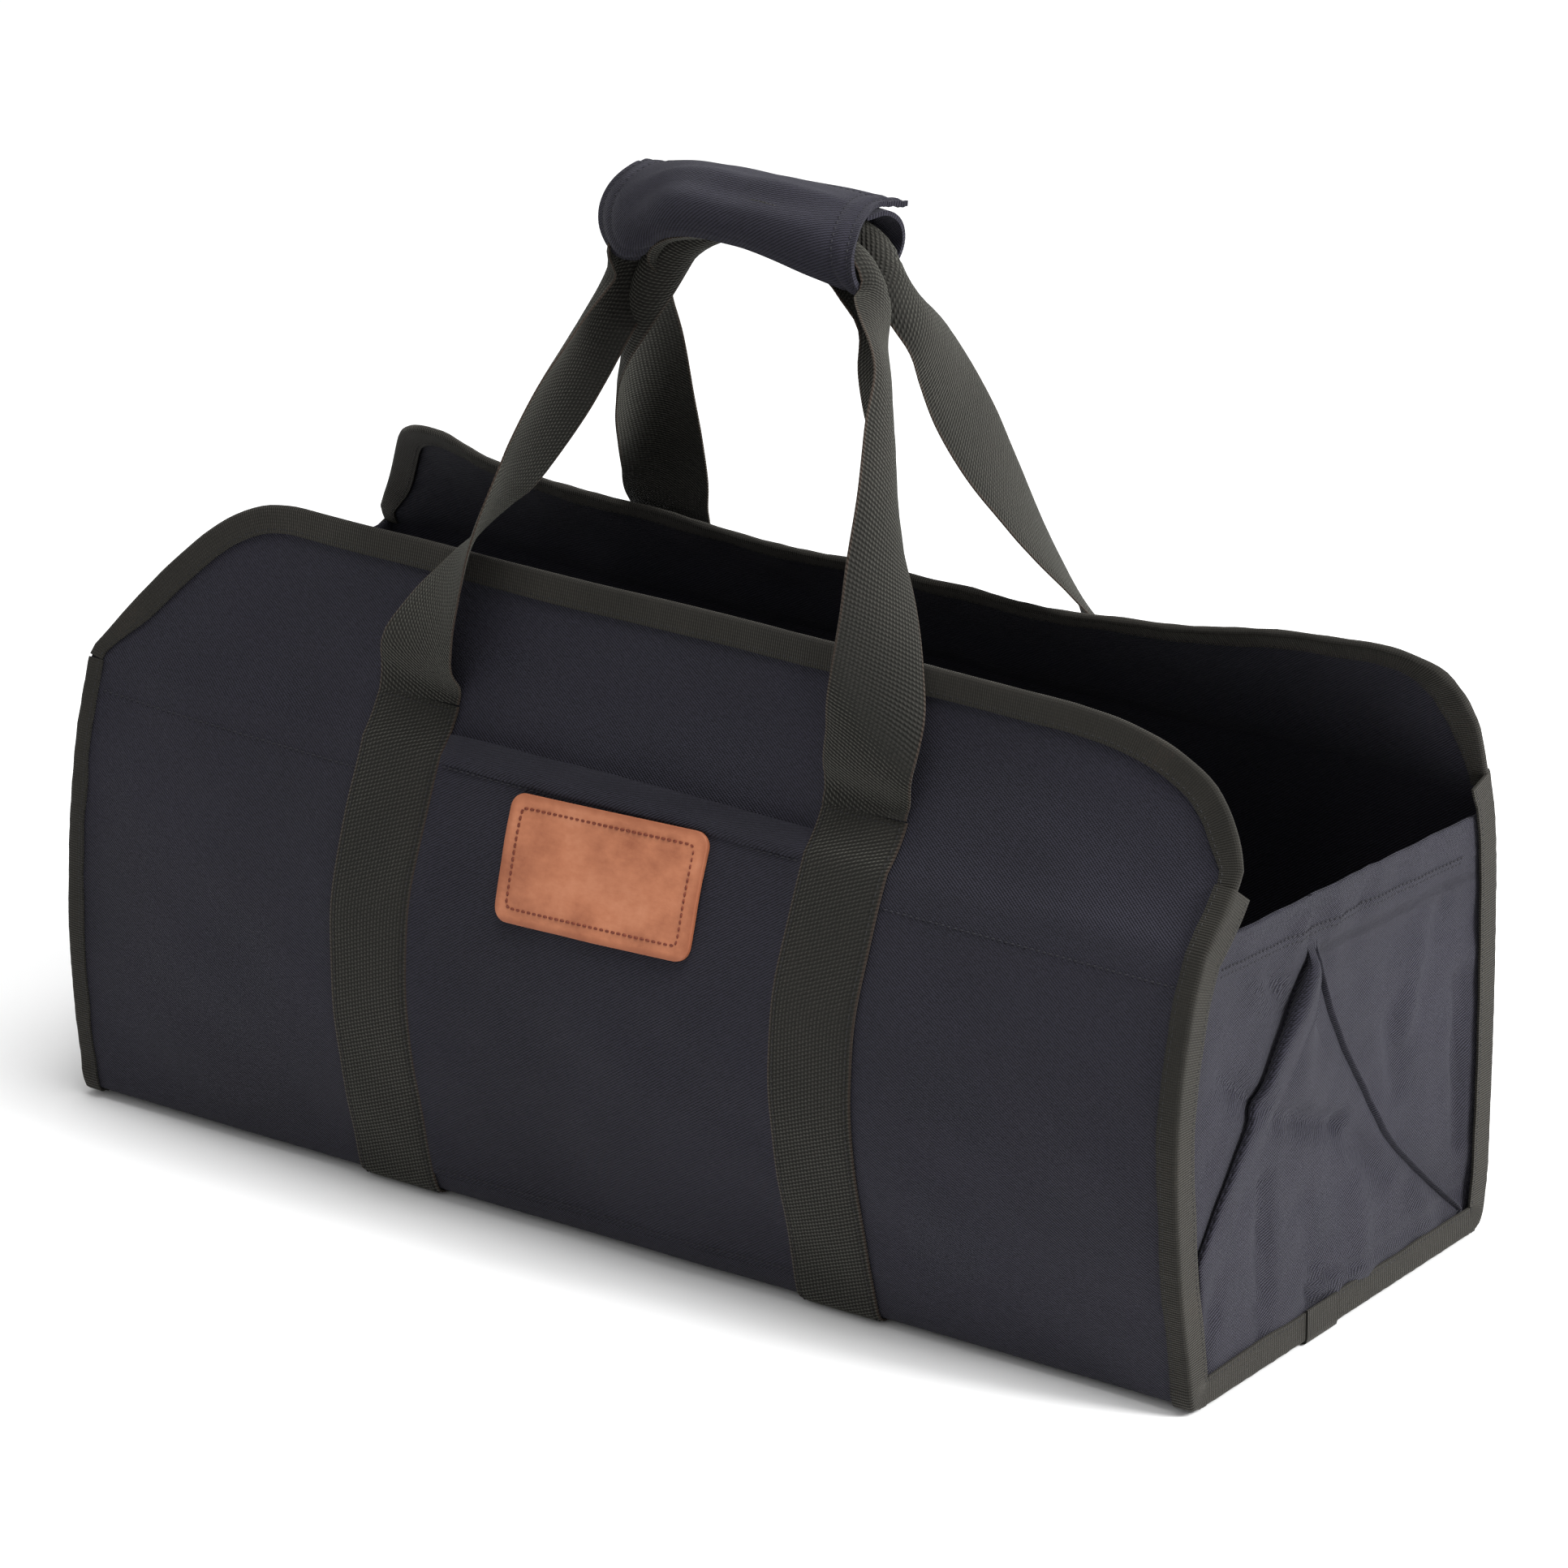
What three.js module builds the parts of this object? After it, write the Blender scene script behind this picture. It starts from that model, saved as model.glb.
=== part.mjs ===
import * as THREE from "three";

// A canvas log carrier, standing open on its straps with its handles up.
// Millimetres. X runs along the bag, the front faces -Y, Z is up and the floor is at Z = 0.

// Overall sizes
const bagLength = 610;
const baseDepth = 236;
const gussetHeight = 211;
const flapRise = 83;
const wallCloth = 236; // canvas from the bottom corner up to the gusset top
const flapCloth = 94; // canvas from the gusset top to the flap edge
const cornerRun = 95; // how far a flap's rounded corner reaches along the bag

// Cloth, tape and webbing
const canvas = 2;
const gap = 0.3; // between sewn pieces
const tapeThickness = 1.4;
const tapeClearance = 1; // under a tape folded round a curved edge
const flapTapeWidth = 12; // seen on each face
const seamTapeOnPanel = 7.5;
const seamTapeOnGusset = 14;
const webThickness = 2.2;
const webWidth = 44;
const strapSpacing = 242; // between the middles of the two straps

// Pocket and patch
const pocketThickness = 1.8;
const pocketFoot = 0.13; // height on the wall
const mouthGape = 2; // how far the middle of its mouth stands off
const gapeFrom = 0.94; // height on the wall where it starts to
const pocketSideGap = 0.8;
const patchWidth = 106;
const patchHeight = 57;
const patchThickness = 2.2;
const patchCorner = 7;
const patchMiddle = 0.86; // height on the wall
const patchTilt = THREE.MathUtils.degToRad(2);

// Handles and their wrap
const handleRise = 229; // from the straps' tops to the middle of the wrap
const wrapLength = 135;
const wrapDepth = 44; // inside
const wrapHeight = 35;
const wrapFlare = 0.06; // how much deeper it is at its ends
const wrapSetForward = 12.5; // the wrap's middle lies this far in front of the bag's
const wrapSetLeft = 5; // and this far to the left
const wrapDroopLeft = 18; // how much lower its ends are than its middle
const wrapDroopRight = 8;
const wrapThickness = 2.4;

// Gusset folds
const gussetTilt = 0.055; // the right one's top edge is higher at the front and lower at the back
const foldOut = 9; // how far the middle triangle stands out
const foldIn = 7; // how far the side triangles dip in
const foldWidth = 2.5; // across the step where the front fold laps over

const halfLength = bagLength / 2;
const halfDepth = baseDepth / 2;
const panelFloor = webThickness + gap;
const FRONT = -1;
const BACK = 1;

// A table's first column is the place, and the others are smooth functions of it.
function smoothTable(rows) {
  const columns = rows[0].length - 1;
  const places = rows.map((row) => row[0]);
  const values = rows.flatMap((row) => row.slice(1));
  const curve = new THREE.CubicInterpolant(places, values, columns);
  return (place) => Array.from(curve.evaluate(place));
}

// The same with straight lines between the rows.
function straightTable(rows) {
  const columns = rows[0].length - 1;
  const places = rows.map((row) => row[0]);
  const values = rows.flatMap((row) => row.slice(1));
  const curve = new THREE.LinearInterpolant(places, values, columns);
  return (place) => Array.from(curve.evaluate(place));
}

// Cross-sections of the walls. Height counts 0 at the bottom corner, 1 at the gusset top and
// 2 at the flap edge. Out is a share of half the base depth, up a share of the gusset height,
// and past 1 of the flap's rise.
// height, out and up at the left end, at the middle, at the right end
const wallSections = {
  [FRONT]: smoothTable([
    [0, 0.94, 0, 0.92, 0, 0.94, 0],
    [0.08, 1.02, 0.022, 1.03, 0.025, 1.02, 0.02],
    [0.165, 1.055, 0.1, 1.09, 0.105, 1.07, 0.1],
    [0.3, 1.085, 0.24, 1.15, 0.245, 1.12, 0.24],
    [0.44, 1.1, 0.395, 1.21, 0.395, 1.155, 0.39],
    [0.577, 1.09, 0.55, 1.235, 0.55, 1.175, 0.545],
    [0.713, 1.065, 0.7, 1.21, 0.7, 1.165, 0.695],
    [0.84, 1.02, 0.84, 1.13, 0.835, 1.12, 0.83],
    [0.94, 0.965, 0.945, 1.05, 0.94, 1.06, 0.94],
    [1, 0.93, 1, 1.0, 1, 1.01, 1],
    [1.38, 0.8, 1.36, 0.84, 1.35, 0.79, 1.33],
    [1.72, 0.69, 1.7, 0.745, 1.7, 0.69, 1.66],
    [2, 0.62, 1.98, 0.695, 2, 0.63, 1.94],
  ]),
  [BACK]: smoothTable([
    [0, 0.94, 0, 0.92, 0, 0.94, 0],
    [0.08, 0.99, 0.022, 1.03, 0.025, 0.99, 0.022],
    [0.165, 1.02, 0.105, 1.09, 0.105, 1.02, 0.105],
    [0.3, 1.03, 0.25, 1.16, 0.245, 1.03, 0.25],
    [0.44, 1.035, 0.405, 1.215, 0.395, 1.035, 0.405],
    [0.577, 1.035, 0.56, 1.247, 0.55, 1.035, 0.56],
    [0.713, 1.03, 0.715, 1.2, 0.7, 1.03, 0.715],
    [0.84, 1.02, 0.855, 1.11, 0.84, 1.02, 0.855],
    [0.94, 1.0, 0.95, 1.03, 0.945, 1.0, 0.95],
    [1, 0.98, 1, 0.97, 1, 0.98, 1],
    [1.38, 0.88, 1.36, 0.8, 1.32, 0.89, 1.36],
    [1.72, 0.78, 1.69, 0.65, 1.54, 0.79, 1.7],
    [2, 0.69, 1.94, 0.53, 1.69, 0.71, 1.96],
  ]),
};

// How much of the flap is there, from its end inwards: share of the corner run, share of the flap
const flapCorners = {
  [FRONT]: [
    straightTable([
      [0, 0.05], [0.1, 0.22], [0.21, 0.39], [0.42, 0.66], [0.64, 0.87], [0.82, 0.965], [1, 1],
    ]),
    straightTable([
      [0, 0.42], [0.04, 0.52], [0.1, 0.63], [0.2, 0.75], [0.4, 0.88], [0.7, 0.97], [1, 1],
    ]),
  ],
  [BACK]: [
    straightTable([
      [0, 0.1], [0.1, 0.3], [0.22, 0.55], [0.34, 0.78], [0.46, 0.91], [0.64, 0.98], [1, 1],
    ]),
    straightTable([
      [0, 0.45], [0.04, 0.63], [0.1, 0.78], [0.2, 0.89], [0.36, 0.96], [0.6, 0.99], [1, 1],
    ]),
  ],
};
const cornerStations = [0, 0.04, 0.1, 0.21, 0.4, 0.64, 1];

function flapReach(side, x) {
  const run = Math.min(1, (halfLength - Math.abs(x)) / cornerRun);
  return flapCorners[side][x < 0 ? 0 : 1](Math.max(0, run))[0];
}

// A point of the wall's outer face before any lift. Heights from 0 down to -1 cross the bottom.
function bareWall(side, x, height) {
  const along = THREE.MathUtils.clamp(x / halfLength, -1, 1);
  const [leftOut, leftUp, midOut, midUp, rightOut, rightUp] = wallSections[side](Math.max(0, height));
  const weight = Math.abs(along) ** 2.5;
  let out = THREE.MathUtils.lerp(midOut, along < 0 ? leftOut : rightOut, weight);
  const up = THREE.MathUtils.lerp(midUp, along < 0 ? leftUp : rightUp, weight);
  if (height < 0) out *= 1 + height;
  const lowPart = Math.max(0, Math.min(1, up)) * gussetHeight;
  const highPart = Math.max(0, up - 1) * flapRise;
  return new THREE.Vector2(side * out * halfDepth, panelFloor + lowPart + highPart);
}

// The same, lifted off the wall: positive is outwards. The outer face of the canvas is lift 0.
// Past the flap edge the wall is carried on straight.
function wall(side, x, height, lift = 0) {
  const step = 0.02;
  const held = Math.min(2, height);
  const point = bareWall(side, x, held);
  const above = bareWall(side, x, Math.min(2, held + step));
  const below = bareWall(side, x, Math.max(-1, held - step));
  const [dy, dz] = above.clone().sub(below).normalize();
  const past = (height - held) * flapCloth;
  return new THREE.Vector3(
    x,
    point.x + past * dy + lift * side * dz,
    point.y + past * dz - lift * side * dy,
  );
}

// Rings of points joined into one closed skin, with flat caps. Every ring has the same
// number of points, and outline gives the ring's own flat shape for the caps.
function skin(rings, outline) {
  const count = outline.length;
  const index = [];
  for (let i = 0; i + 1 < rings.length; i++) {
    for (let j = 0; j < count; j++) {
      const [a, b] = [i * count + j, i * count + ((j + 1) % count)];
      index.push(a, b, a + count, b, b + count, a + count);
    }
  }
  const last = (rings.length - 1) * count;
  for (const [a, b, c] of THREE.ShapeUtils.triangulateShape(outline, [])) {
    index.push(a, c, b, last + a, last + b, last + c);
  }
  return facingOut(rings.flat(), index);
}

// A sheet with two faces and a rim. place(i, j, face) gives its points, face 0 or 1.
function sheet(columns, rows, place) {
  const points = [];
  for (const face of [0, 1]) {
    for (let i = 0; i <= columns; i++) {
      for (let j = 0; j <= rows; j++) points.push(place(i, j, face));
    }
  }
  const at = (i, j, face) => (face * (columns + 1) + i) * (rows + 1) + j;
  const index = [];
  const quad = (a, b, c, d) => index.push(a, b, c, a, c, d);
  for (let i = 0; i < columns; i++) {
    for (let j = 0; j < rows; j++) {
      quad(at(i, j, 0), at(i + 1, j, 0), at(i + 1, j + 1, 0), at(i, j + 1, 0));
      quad(at(i, j, 1), at(i, j + 1, 1), at(i + 1, j + 1, 1), at(i + 1, j, 1));
    }
    quad(at(i, 0, 0), at(i, 0, 1), at(i + 1, 0, 1), at(i + 1, 0, 0));
    quad(at(i, rows, 1), at(i, rows, 0), at(i + 1, rows, 0), at(i + 1, rows, 1));
  }
  for (let j = 0; j < rows; j++) {
    quad(at(0, j, 1), at(0, j, 0), at(0, j + 1, 0), at(0, j + 1, 1));
    quad(at(columns, j, 0), at(columns, j, 1), at(columns, j + 1, 1), at(columns, j + 1, 0));
  }
  return facingOut(points, index);
}

// Turns the faces round if the skin came out inside out.
function facingOut(points, index) {
  let volume = 0;
  for (let i = 0; i < index.length; i += 3) {
    const [a, b, c] = [points[index[i]], points[index[i + 1]], points[index[i + 2]]];
    volume += a.dot(new THREE.Vector3().crossVectors(b, c));
  }
  if (volume < 0) index.reverse();
  const geometry = new THREE.BufferGeometry();
  geometry.setFromPoints(points);
  geometry.setIndex(index);
  geometry.computeVertexNormals();
  return geometry;
}

const carrier = new THREE.Group();
const materials = {
  canvas: new THREE.MeshStandardMaterial({ color: 0x2d2a37, roughness: 0.9, metalness: 0 }),
  tape: new THREE.MeshStandardMaterial({ color: 0x3c342d, roughness: 0.85, metalness: 0 }),
  webbing: new THREE.MeshStandardMaterial({ color: 0x2d2f26, roughness: 0.85, metalness: 0 }),
  leather: new THREE.MeshStandardMaterial({ color: 0xc8825f, roughness: 0.6, metalness: 0 }),
};

function add(name, geometry, material) {
  const mesh = new THREE.Mesh(geometry, material);
  mesh.name = name;
  carrier.add(mesh);
}

// Stations along the bag: close together at the flaps' rounded corners
const middleSpans = 8;
const panelStations = [];
for (const share of cornerStations) panelStations.push(-halfLength + share * cornerRun);
const middleRun = bagLength - 2 * cornerRun;
for (let i = 1; i < middleSpans; i++) {
  panelStations.push(-halfLength + cornerRun + (middleRun * i) / middleSpans);
}
for (const share of cornerStations.toReversed()) panelStations.push(halfLength - share * cornerRun);

// Rows up the wall and up the flap. The sewn pieces share them, so that their faces stay parallel.
const wallHeights = [0, 0.08, 0.13, 0.2, 0.3, 0.44, 0.577, 0.713, 0.84, 0.94, 1];
const flapShares = [0.1, 0.25, 0.45, 0.7, 1];
const pocketMouth = 1 + flapShares[0];
const strapTop = 1 + flapShares[1];

// Main panel: the flap's rows close up towards a rounded corner, so its edge is a smooth line
function mainPanel() {
  const rows = [];
  for (const share of flapShares.toReversed()) rows.push([FRONT, 1, share]);
  for (const height of wallHeights.toReversed()) rows.push([FRONT, height, 0]);
  rows.push([FRONT, -1, 0]);
  for (const height of wallHeights) rows.push([BACK, height, 0]);
  for (const share of flapShares) rows.push([BACK, 1, share]);
  return sheet(panelStations.length - 1, rows.length - 1, (i, j, face) => {
    const x = panelStations[i];
    const [side, height, share] = rows[j];
    return wall(side, x, height + share * flapReach(side, x), -face * canvas);
  });
}

// Sewn webbing: up one wall, over the bottom and up the other
function strap(middle) {
  const heights = [strapTop, pocketMouth, ...wallHeights.toReversed()];
  const rows = heights.map((height) => [FRONT, height]);
  rows.push([FRONT, -1]);
  rows.push(...heights.toReversed().map((height) => [BACK, height]));
  return sheet(2, rows.length - 1, (i, j, face) => {
    const x = middle + (i / 2 - 0.5) * webWidth;
    return wall(...[rows[j][0], x, rows[j][1]], gap + face * webThickness);
  });
}

// Pocket: from strap to strap, its mouth standing a little off the wall
const pocketHalf = strapSpacing / 2 - webWidth / 2 - pocketSideGap;

function pocketLift(x, height) {
  const mouth = Math.max(0, (height - gapeFrom) / (pocketMouth - gapeFrom));
  return gap + mouthGape * (1 - (x / pocketHalf) ** 2) * mouth;
}

function frontPocket() {
  const inside = panelStations.filter((x) => Math.abs(x) < pocketHalf);
  const columns = [-pocketHalf, ...inside, pocketHalf];
  const heights = [...wallHeights.filter((height) => height >= pocketFoot), pocketMouth];
  return sheet(columns.length - 1, heights.length - 1, (i, j, face) => {
    const lift = pocketLift(columns[i], heights[j]) + face * pocketThickness;
    return wall(FRONT, columns[i], heights[j], lift);
  });
}

// Patch: a thin plate with rounded corners, bent with the pocket that it is sewn to
function leatherPatch() {
  const cornerSteps = [0, 0.15, 0.5, 1];
  const half = patchHeight / 2;
  const levels = cornerSteps.map((step) => step * patchCorner - half);
  levels.push(-half / 3, half / 3, ...levels.toReversed().map((level) => -level));
  const columns = 6;
  return sheet(columns, levels.length - 1, (i, j, face) => {
    const inset = Math.max(0, patchCorner - (half - Math.abs(levels[j])));
    const round = patchCorner - Math.sqrt(Math.max(0, patchCorner ** 2 - inset ** 2));
    const across = ((2 * i) / columns - 1) * (patchWidth / 2 - round);
    const x = across * Math.cos(patchTilt) - levels[j] * Math.sin(patchTilt);
    const cloth = across * Math.sin(patchTilt) + levels[j] * Math.cos(patchTilt);
    const height = patchMiddle + cloth / wallCloth;
    const seat = pocketLift(x, height) + pocketThickness + tapeClearance;
    return wall(FRONT, x, height, seat + face * patchThickness);
  });
}

// Gusset folds: where the fold lines run, as shares of the gusset height and half the depth
const foldTop = { height: 0.84, y: -0.22 };
const foldFront = { height: 0.3, y: -1.07 };
const foldBack = { height: 0.08, y: 0.83 };
const foldsFrom = 0.13; // they start above the seam tape
const foldsTo = 0.94; // and end below the hem

function endGusset(end) {
  const seat = -(canvas + gap);
  const onLine = (foot, height) => {
    const share = Math.min(1, Math.max(0, (foldTop.height - height) / (foldTop.height - foot.height)));
    return halfDepth * THREE.MathUtils.lerp(foldTop.y, foot.y, share);
  };
  const margin = seamTapeOnGusset + 2;
  const rows = wallHeights.length - 1;
  return sheet(8, rows, (i, j, face) => {
    const height = wallHeights[j];
    const tilt = j === rows && end > 0 ? gussetTilt : 0;
    const front = wall(FRONT, end * halfLength, height + tilt, seat);
    const back = wall(BACK, end * halfLength, height - tilt, seat);
    const share = THREE.MathUtils.clamp((height - foldsFrom) / (foldsTo - foldsFrom), 0, 1);
    const swell = Math.sin(Math.PI * share) ** 0.7;
    const lapped = Math.max(front.y + margin + 3 * foldWidth, onLine(foldFront, height));
    const farthest = back.y - margin - 2 * foldWidth;
    const ridge = Math.min(farthest, Math.max(onLine(foldBack, height), lapped + 2 * foldWidth));
    const columns = [
      [front.y, 0],
      [front.y + margin, 0],
      [(front.y + margin + lapped - foldWidth) / 2, -0.5 * foldIn],
      [lapped - foldWidth, -foldIn],
      [lapped, 0.45 * foldOut],
      [(lapped + ridge) / 2, foldOut],
      [ridge, 0.3 * foldOut],
      [(ridge + back.y - margin) / 2, -foldIn],
      [back.y, 0],
    ];
    const [y, depth] = columns[i];
    const x = halfLength + depth * swell - face * canvas;
    const z = THREE.MathUtils.mapLinear(y, front.y, back.y, front.z, back.z);
    return new THREE.Vector3(end * x, y, z);
  });
}

// Tape over the seam of an end: one leg on the panel, one on the gusset
// leg lengths inwards from the end, and off the wall
const seamOutline = [
  [seamTapeOnPanel, gap],
  [seamTapeOnPanel, gap + tapeThickness],
  [-gap - tapeThickness, gap + tapeThickness],
  [-gap - tapeThickness, -seamTapeOnGusset],
  [-gap, -seamTapeOnGusset],
  [-gap, gap],
];
// How many rows of the flap's end edge it runs on over, at the left and the right end
const seamTopRows = { [FRONT]: [0, 4], [BACK]: [0, 1] };

function seamBinding(end) {
  const which = end < 0 ? 0 : 1;
  const path = [];
  for (const side of [FRONT, BACK]) {
    const reach = flapReach(side, end * halfLength);
    const over = flapShares.slice(0, seamTopRows[side][which]).map((share) => 1 + share * reach);
    const leg = [...wallHeights, ...over].map((height) => [side, height]);
    if (side === FRONT) path.push(...leg.toReversed(), [FRONT, -1]);
    else path.push(...leg);
  }
  const rings = path.map(([side, height]) => seamOutline.map(([inwards, lift]) => {
    const clear = height > 1 && lift > 0 ? tapeClearance - gap : 0;
    return wall(side, end * (halfLength - inwards), height, lift + clear);
  }));
  return skin(rings, seamOutline.map(([a, b]) => new THREE.Vector2(a, b)));
}

// Tape folded over a flap's free edge: distance inwards from the edge, and off the wall
const flapOutline = [
  [flapTapeWidth, tapeClearance],
  [flapTapeWidth, tapeClearance + tapeThickness],
  [-tapeClearance - tapeThickness, tapeClearance + tapeThickness],
  [-tapeClearance - tapeThickness, -canvas - tapeClearance - tapeThickness],
  [flapTapeWidth, -canvas - tapeClearance - tapeThickness],
  [flapTapeWidth, -canvas - tapeClearance],
  [-tapeClearance, -canvas - tapeClearance],
  [-tapeClearance, tapeClearance],
];

function flapBinding(side) {
  const edge = panelStations.map((x) => new THREE.Vector2(x, flapReach(side, x) * flapCloth));
  const starts = seamTopRows[side].map((rows, which) => {
    const end = which ? edge[edge.length - 1] : edge[0];
    return (rows ? flapShares[rows - 1] * end.y : 0) + 2 * tapeClearance;
  });
  edge.unshift(new THREE.Vector2(-halfLength, Math.min(starts[0], edge[0].y - 1)));
  edge.push(new THREE.Vector2(halfLength, Math.min(starts[1], edge[edge.length - 1].y - 1)));
  const rings = edge.map((point, i) => {
    const before = edge[Math.max(0, i - 1)];
    const after = edge[Math.min(edge.length - 1, i + 1)];
    const along = after.clone().sub(before).normalize();
    return flapOutline.map(([inwards, lift]) => {
      const x = point.x + along.y * inwards;
      const cloth = point.y - along.x * inwards;
      return wall(side, x, 1 + cloth / flapCloth, lift);
    });
  });
  return skin(rings, flapOutline.map(([a, b]) => new THREE.Vector2(a, b)));
}

// Free webbing loops, from the left strap's top over to the right one's.
// Columns: across (share of half the strap spacing), out (share of half the base depth),
// rise (share of the handle rise), turn and tip of the webbing's width in degrees,
// and curl, the angle that its section is rolled through.
const handleRows = {
  [FRONT]: [
    [-0.975, -0.935, 0.07, -5, 1, 0],
    [-0.915, -0.93, 0.171, -17, 6, 0],
    [-0.86, -0.905, 0.25, -29, 12, 0],
    [-0.8, -0.86, 0.33, -46, 18, 5],
    [-0.72, -0.75, 0.436, -70, 26, 15],
    [-0.68, -0.66, 0.488, -82, 32, 30],
    [-0.61, -0.51, 0.599, -90, 40, 60],
    [-0.56, -0.39, 0.668, -92, 52, 90],
    [-0.51, -0.25, 0.745, -92, 72, 135],
    [-0.45, -0.185, 0.81, -91, 84, 165],
    [-0.35, -0.178, 0.89, -90, 85, 168],
    [-0.18, -0.18, 0.98, -90, 84, 170],
    [0.02, -0.18, 0.995, -90, 86, 170],
    [0.2, -0.18, 0.982, -90, 84, 170],
    [0.34, -0.18, 0.935, -90, 84, 165],
    [0.45, -0.185, 0.89, -90, 84, 160],
    [0.54, -0.195, 0.85, -90, 84, 160],
    [0.65, -0.32, 0.815, -90, 64, 120],
    [0.77, -0.49, 0.763, -92, 46, 75],
    [0.87, -0.61, 0.695, -96, 36, 45],
    [0.96, -0.75, 0.593, -110, 28, 20],
    [1.02, -0.83, 0.492, -138, 22, 5],
    [1.05, -0.88, 0.379, -162, 14, 0],
    [1.065, -0.92, 0.265, -173, 8, 0],
    [1.05, -0.935, 0.16, -177, 4, 0],
    [1.015, -0.93, 0.07, -179, 1, 0],
  ],
  [BACK]: [
    [-0.98, 0.83, 0.09, 2, 1, 0],
    [-0.93, 0.67, 0.19, 10, 3, 10],
    [-0.89, 0.57, 0.26, 18, 5, 25],
    [-0.82, 0.43, 0.37, 25, 7, 45],
    [-0.74, 0.28, 0.49, 36, 10, 60],
    [-0.67, 0.15, 0.602, 54, 18, 80],
    [-0.59, 0.05, 0.686, 70, 38, 115],
    [-0.45, -0.03, 0.8, 84, 70, 150],
    [-0.26, -0.035, 0.905, 88, 78, 160],
    [-0.06, -0.035, 0.98, 90, 84, 170],
    [0.14, -0.035, 0.995, 90, 86, 170],
    [0.32, -0.035, 0.965, 90, 84, 160],
    [0.44, -0.035, 0.92, 90, 82, 160],
    [0.52, -0.025, 0.865, 90, 72, 140],
    [0.58, 0.03, 0.81, 86, 48, 95],
    [0.62, 0.1, 0.74, 80, 34, 70],
    [0.66, 0.19, 0.639, 75, 28, 35],
    [0.71, 0.31, 0.53, 76, 26, 15],
    [0.75, 0.44, 0.425, 84, 20, 5],
    [0.81, 0.56, 0.344, 100, 14, 0],
    [0.88, 0.7, 0.24, 130, 7, 0],
    [0.95, 0.82, 0.12, 162, 2, 0],
  ],
};
const strapTopHeight = wall(FRONT, strapSpacing / 2, strapTop).z;
const webSpans = 4;
const leavingLift = 35; // how soon the webbing parts from the flap above its strap

// One ring of a webbing section at a point, with its width across and its back along facing
function webRing(point, across, facing, curl) {
  const ring = [];
  for (const face of [1, -1]) {
    for (let k = 0; k <= webSpans; k++) {
      const share = face * (0.5 - k / webSpans);
      const bend = curl * share;
      const radius = curl > 0.01 ? webWidth / curl : 0;
      const sideways = radius ? radius * Math.sin(bend) : webWidth * share;
      const sag = radius ? radius * (Math.cos(curl / 4) - Math.cos(bend)) : 0;
      const off = (face * webThickness) / 2;
      ring.push(
        point
          .clone()
          .addScaledVector(across, sideways - off * Math.sin(bend))
          .addScaledVector(facing, sag + off * Math.cos(bend)),
      );
    }
  }
  return ring;
}

function handle(side) {
  const seat = tapeClearance + webThickness / 2;
  const start = strapTop + (2 * tapeClearance) / flapCloth;
  const ends = [-1, 1].map((end) => [0, 0.08].map((more) => {
    const lifted = seat + more * leavingLift;
    return wall(side, (end * strapSpacing) / 2, start + more, lifted);
  }));
  const turned = side === FRONT ? -180 : 180;
  const places = [
    ...ends[0],
    ...handleRows[side].map(([across, out, rise]) => new THREE.Vector3(
      (across * strapSpacing) / 2,
      out * halfDepth,
      strapTopHeight + rise * handleRise,
    )),
    ...ends[1].toReversed(),
  ];
  const angles = [
    [0, 0, 0], [0, 0, 0],
    ...handleRows[side].map((row) => row.slice(3)),
    [turned, 0, 0], [turned, 0, 0],
  ];
  const path = new THREE.CatmullRomCurve3(places, false, "centripetal");
  const turns = smoothTable(angles.map((row, i) => [i / (angles.length - 1), ...row]));
  const stations = 2 * (places.length - 1);
  const rings = [];
  for (let i = 0; i <= stations; i++) {
    const share = i / stations;
    const [turn, tip, curl] = turns(share).map(THREE.MathUtils.degToRad);
    const tangent = path.getTangent(share);
    const across = new THREE.Vector3(
      Math.cos(tip) * Math.cos(turn),
      Math.cos(tip) * Math.sin(turn),
      Math.sin(tip),
    );
    across.addScaledVector(tangent, -across.dot(tangent)).normalize();
    const facing = new THREE.Vector3().crossVectors(tangent, across).multiplyScalar(-side);
    rings.push(webRing(path.getPoint(share), across, facing, Math.max(0, curl)));
  }
  const outline = [];
  for (const face of [1, -1]) {
    for (let k = 0; k <= webSpans; k++) outline.push(new THREE.Vector2(face * (0.5 - k / webSpans), face));
  }
  return skin(rings, outline);
}

// Wrap: a stitched sheet rolled over both loops, open underneath where they come out.
// Its section, from the back lower edge over the top: shares of its depth and height
const wrapSection = new THREE.SplineCurve([
  new THREE.Vector2(0.5, -0.1),
  new THREE.Vector2(0.5, 0.2),
  new THREE.Vector2(0.45, 0.44),
  new THREE.Vector2(0.2, 0.53),
  new THREE.Vector2(-0.2, 0.53),
  new THREE.Vector2(-0.45, 0.44),
  new THREE.Vector2(-0.5, 0.2),
  new THREE.Vector2(-0.5, -0.12),
  new THREE.Vector2(-0.48, -0.38),
]);

function handleWrap() {
  const columns = 8;
  const rows = 14;
  const middle = strapTopHeight + handleRise;
  return sheet(columns, rows, (i, j, face) => {
    const along = (2 * i) / columns - 1;
    const point = wrapSection.getPoint(j / rows);
    const tangent = wrapSection.getTangent(j / rows);
    const scale = new THREE.Vector2(wrapDepth * (1 + wrapFlare * along * along), wrapHeight);
    const normal = new THREE.Vector2(tangent.y, -tangent.x).multiplyScalar(face * wrapThickness);
    const spot = point.multiply(scale).add(normal);
    return new THREE.Vector3(
      (along * wrapLength) / 2 - wrapSetLeft,
      spot.x - wrapSetForward,
      middle + spot.y - (along < 0 ? wrapDroopLeft : wrapDroopRight) * along * along,
    );
  });
}

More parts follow.
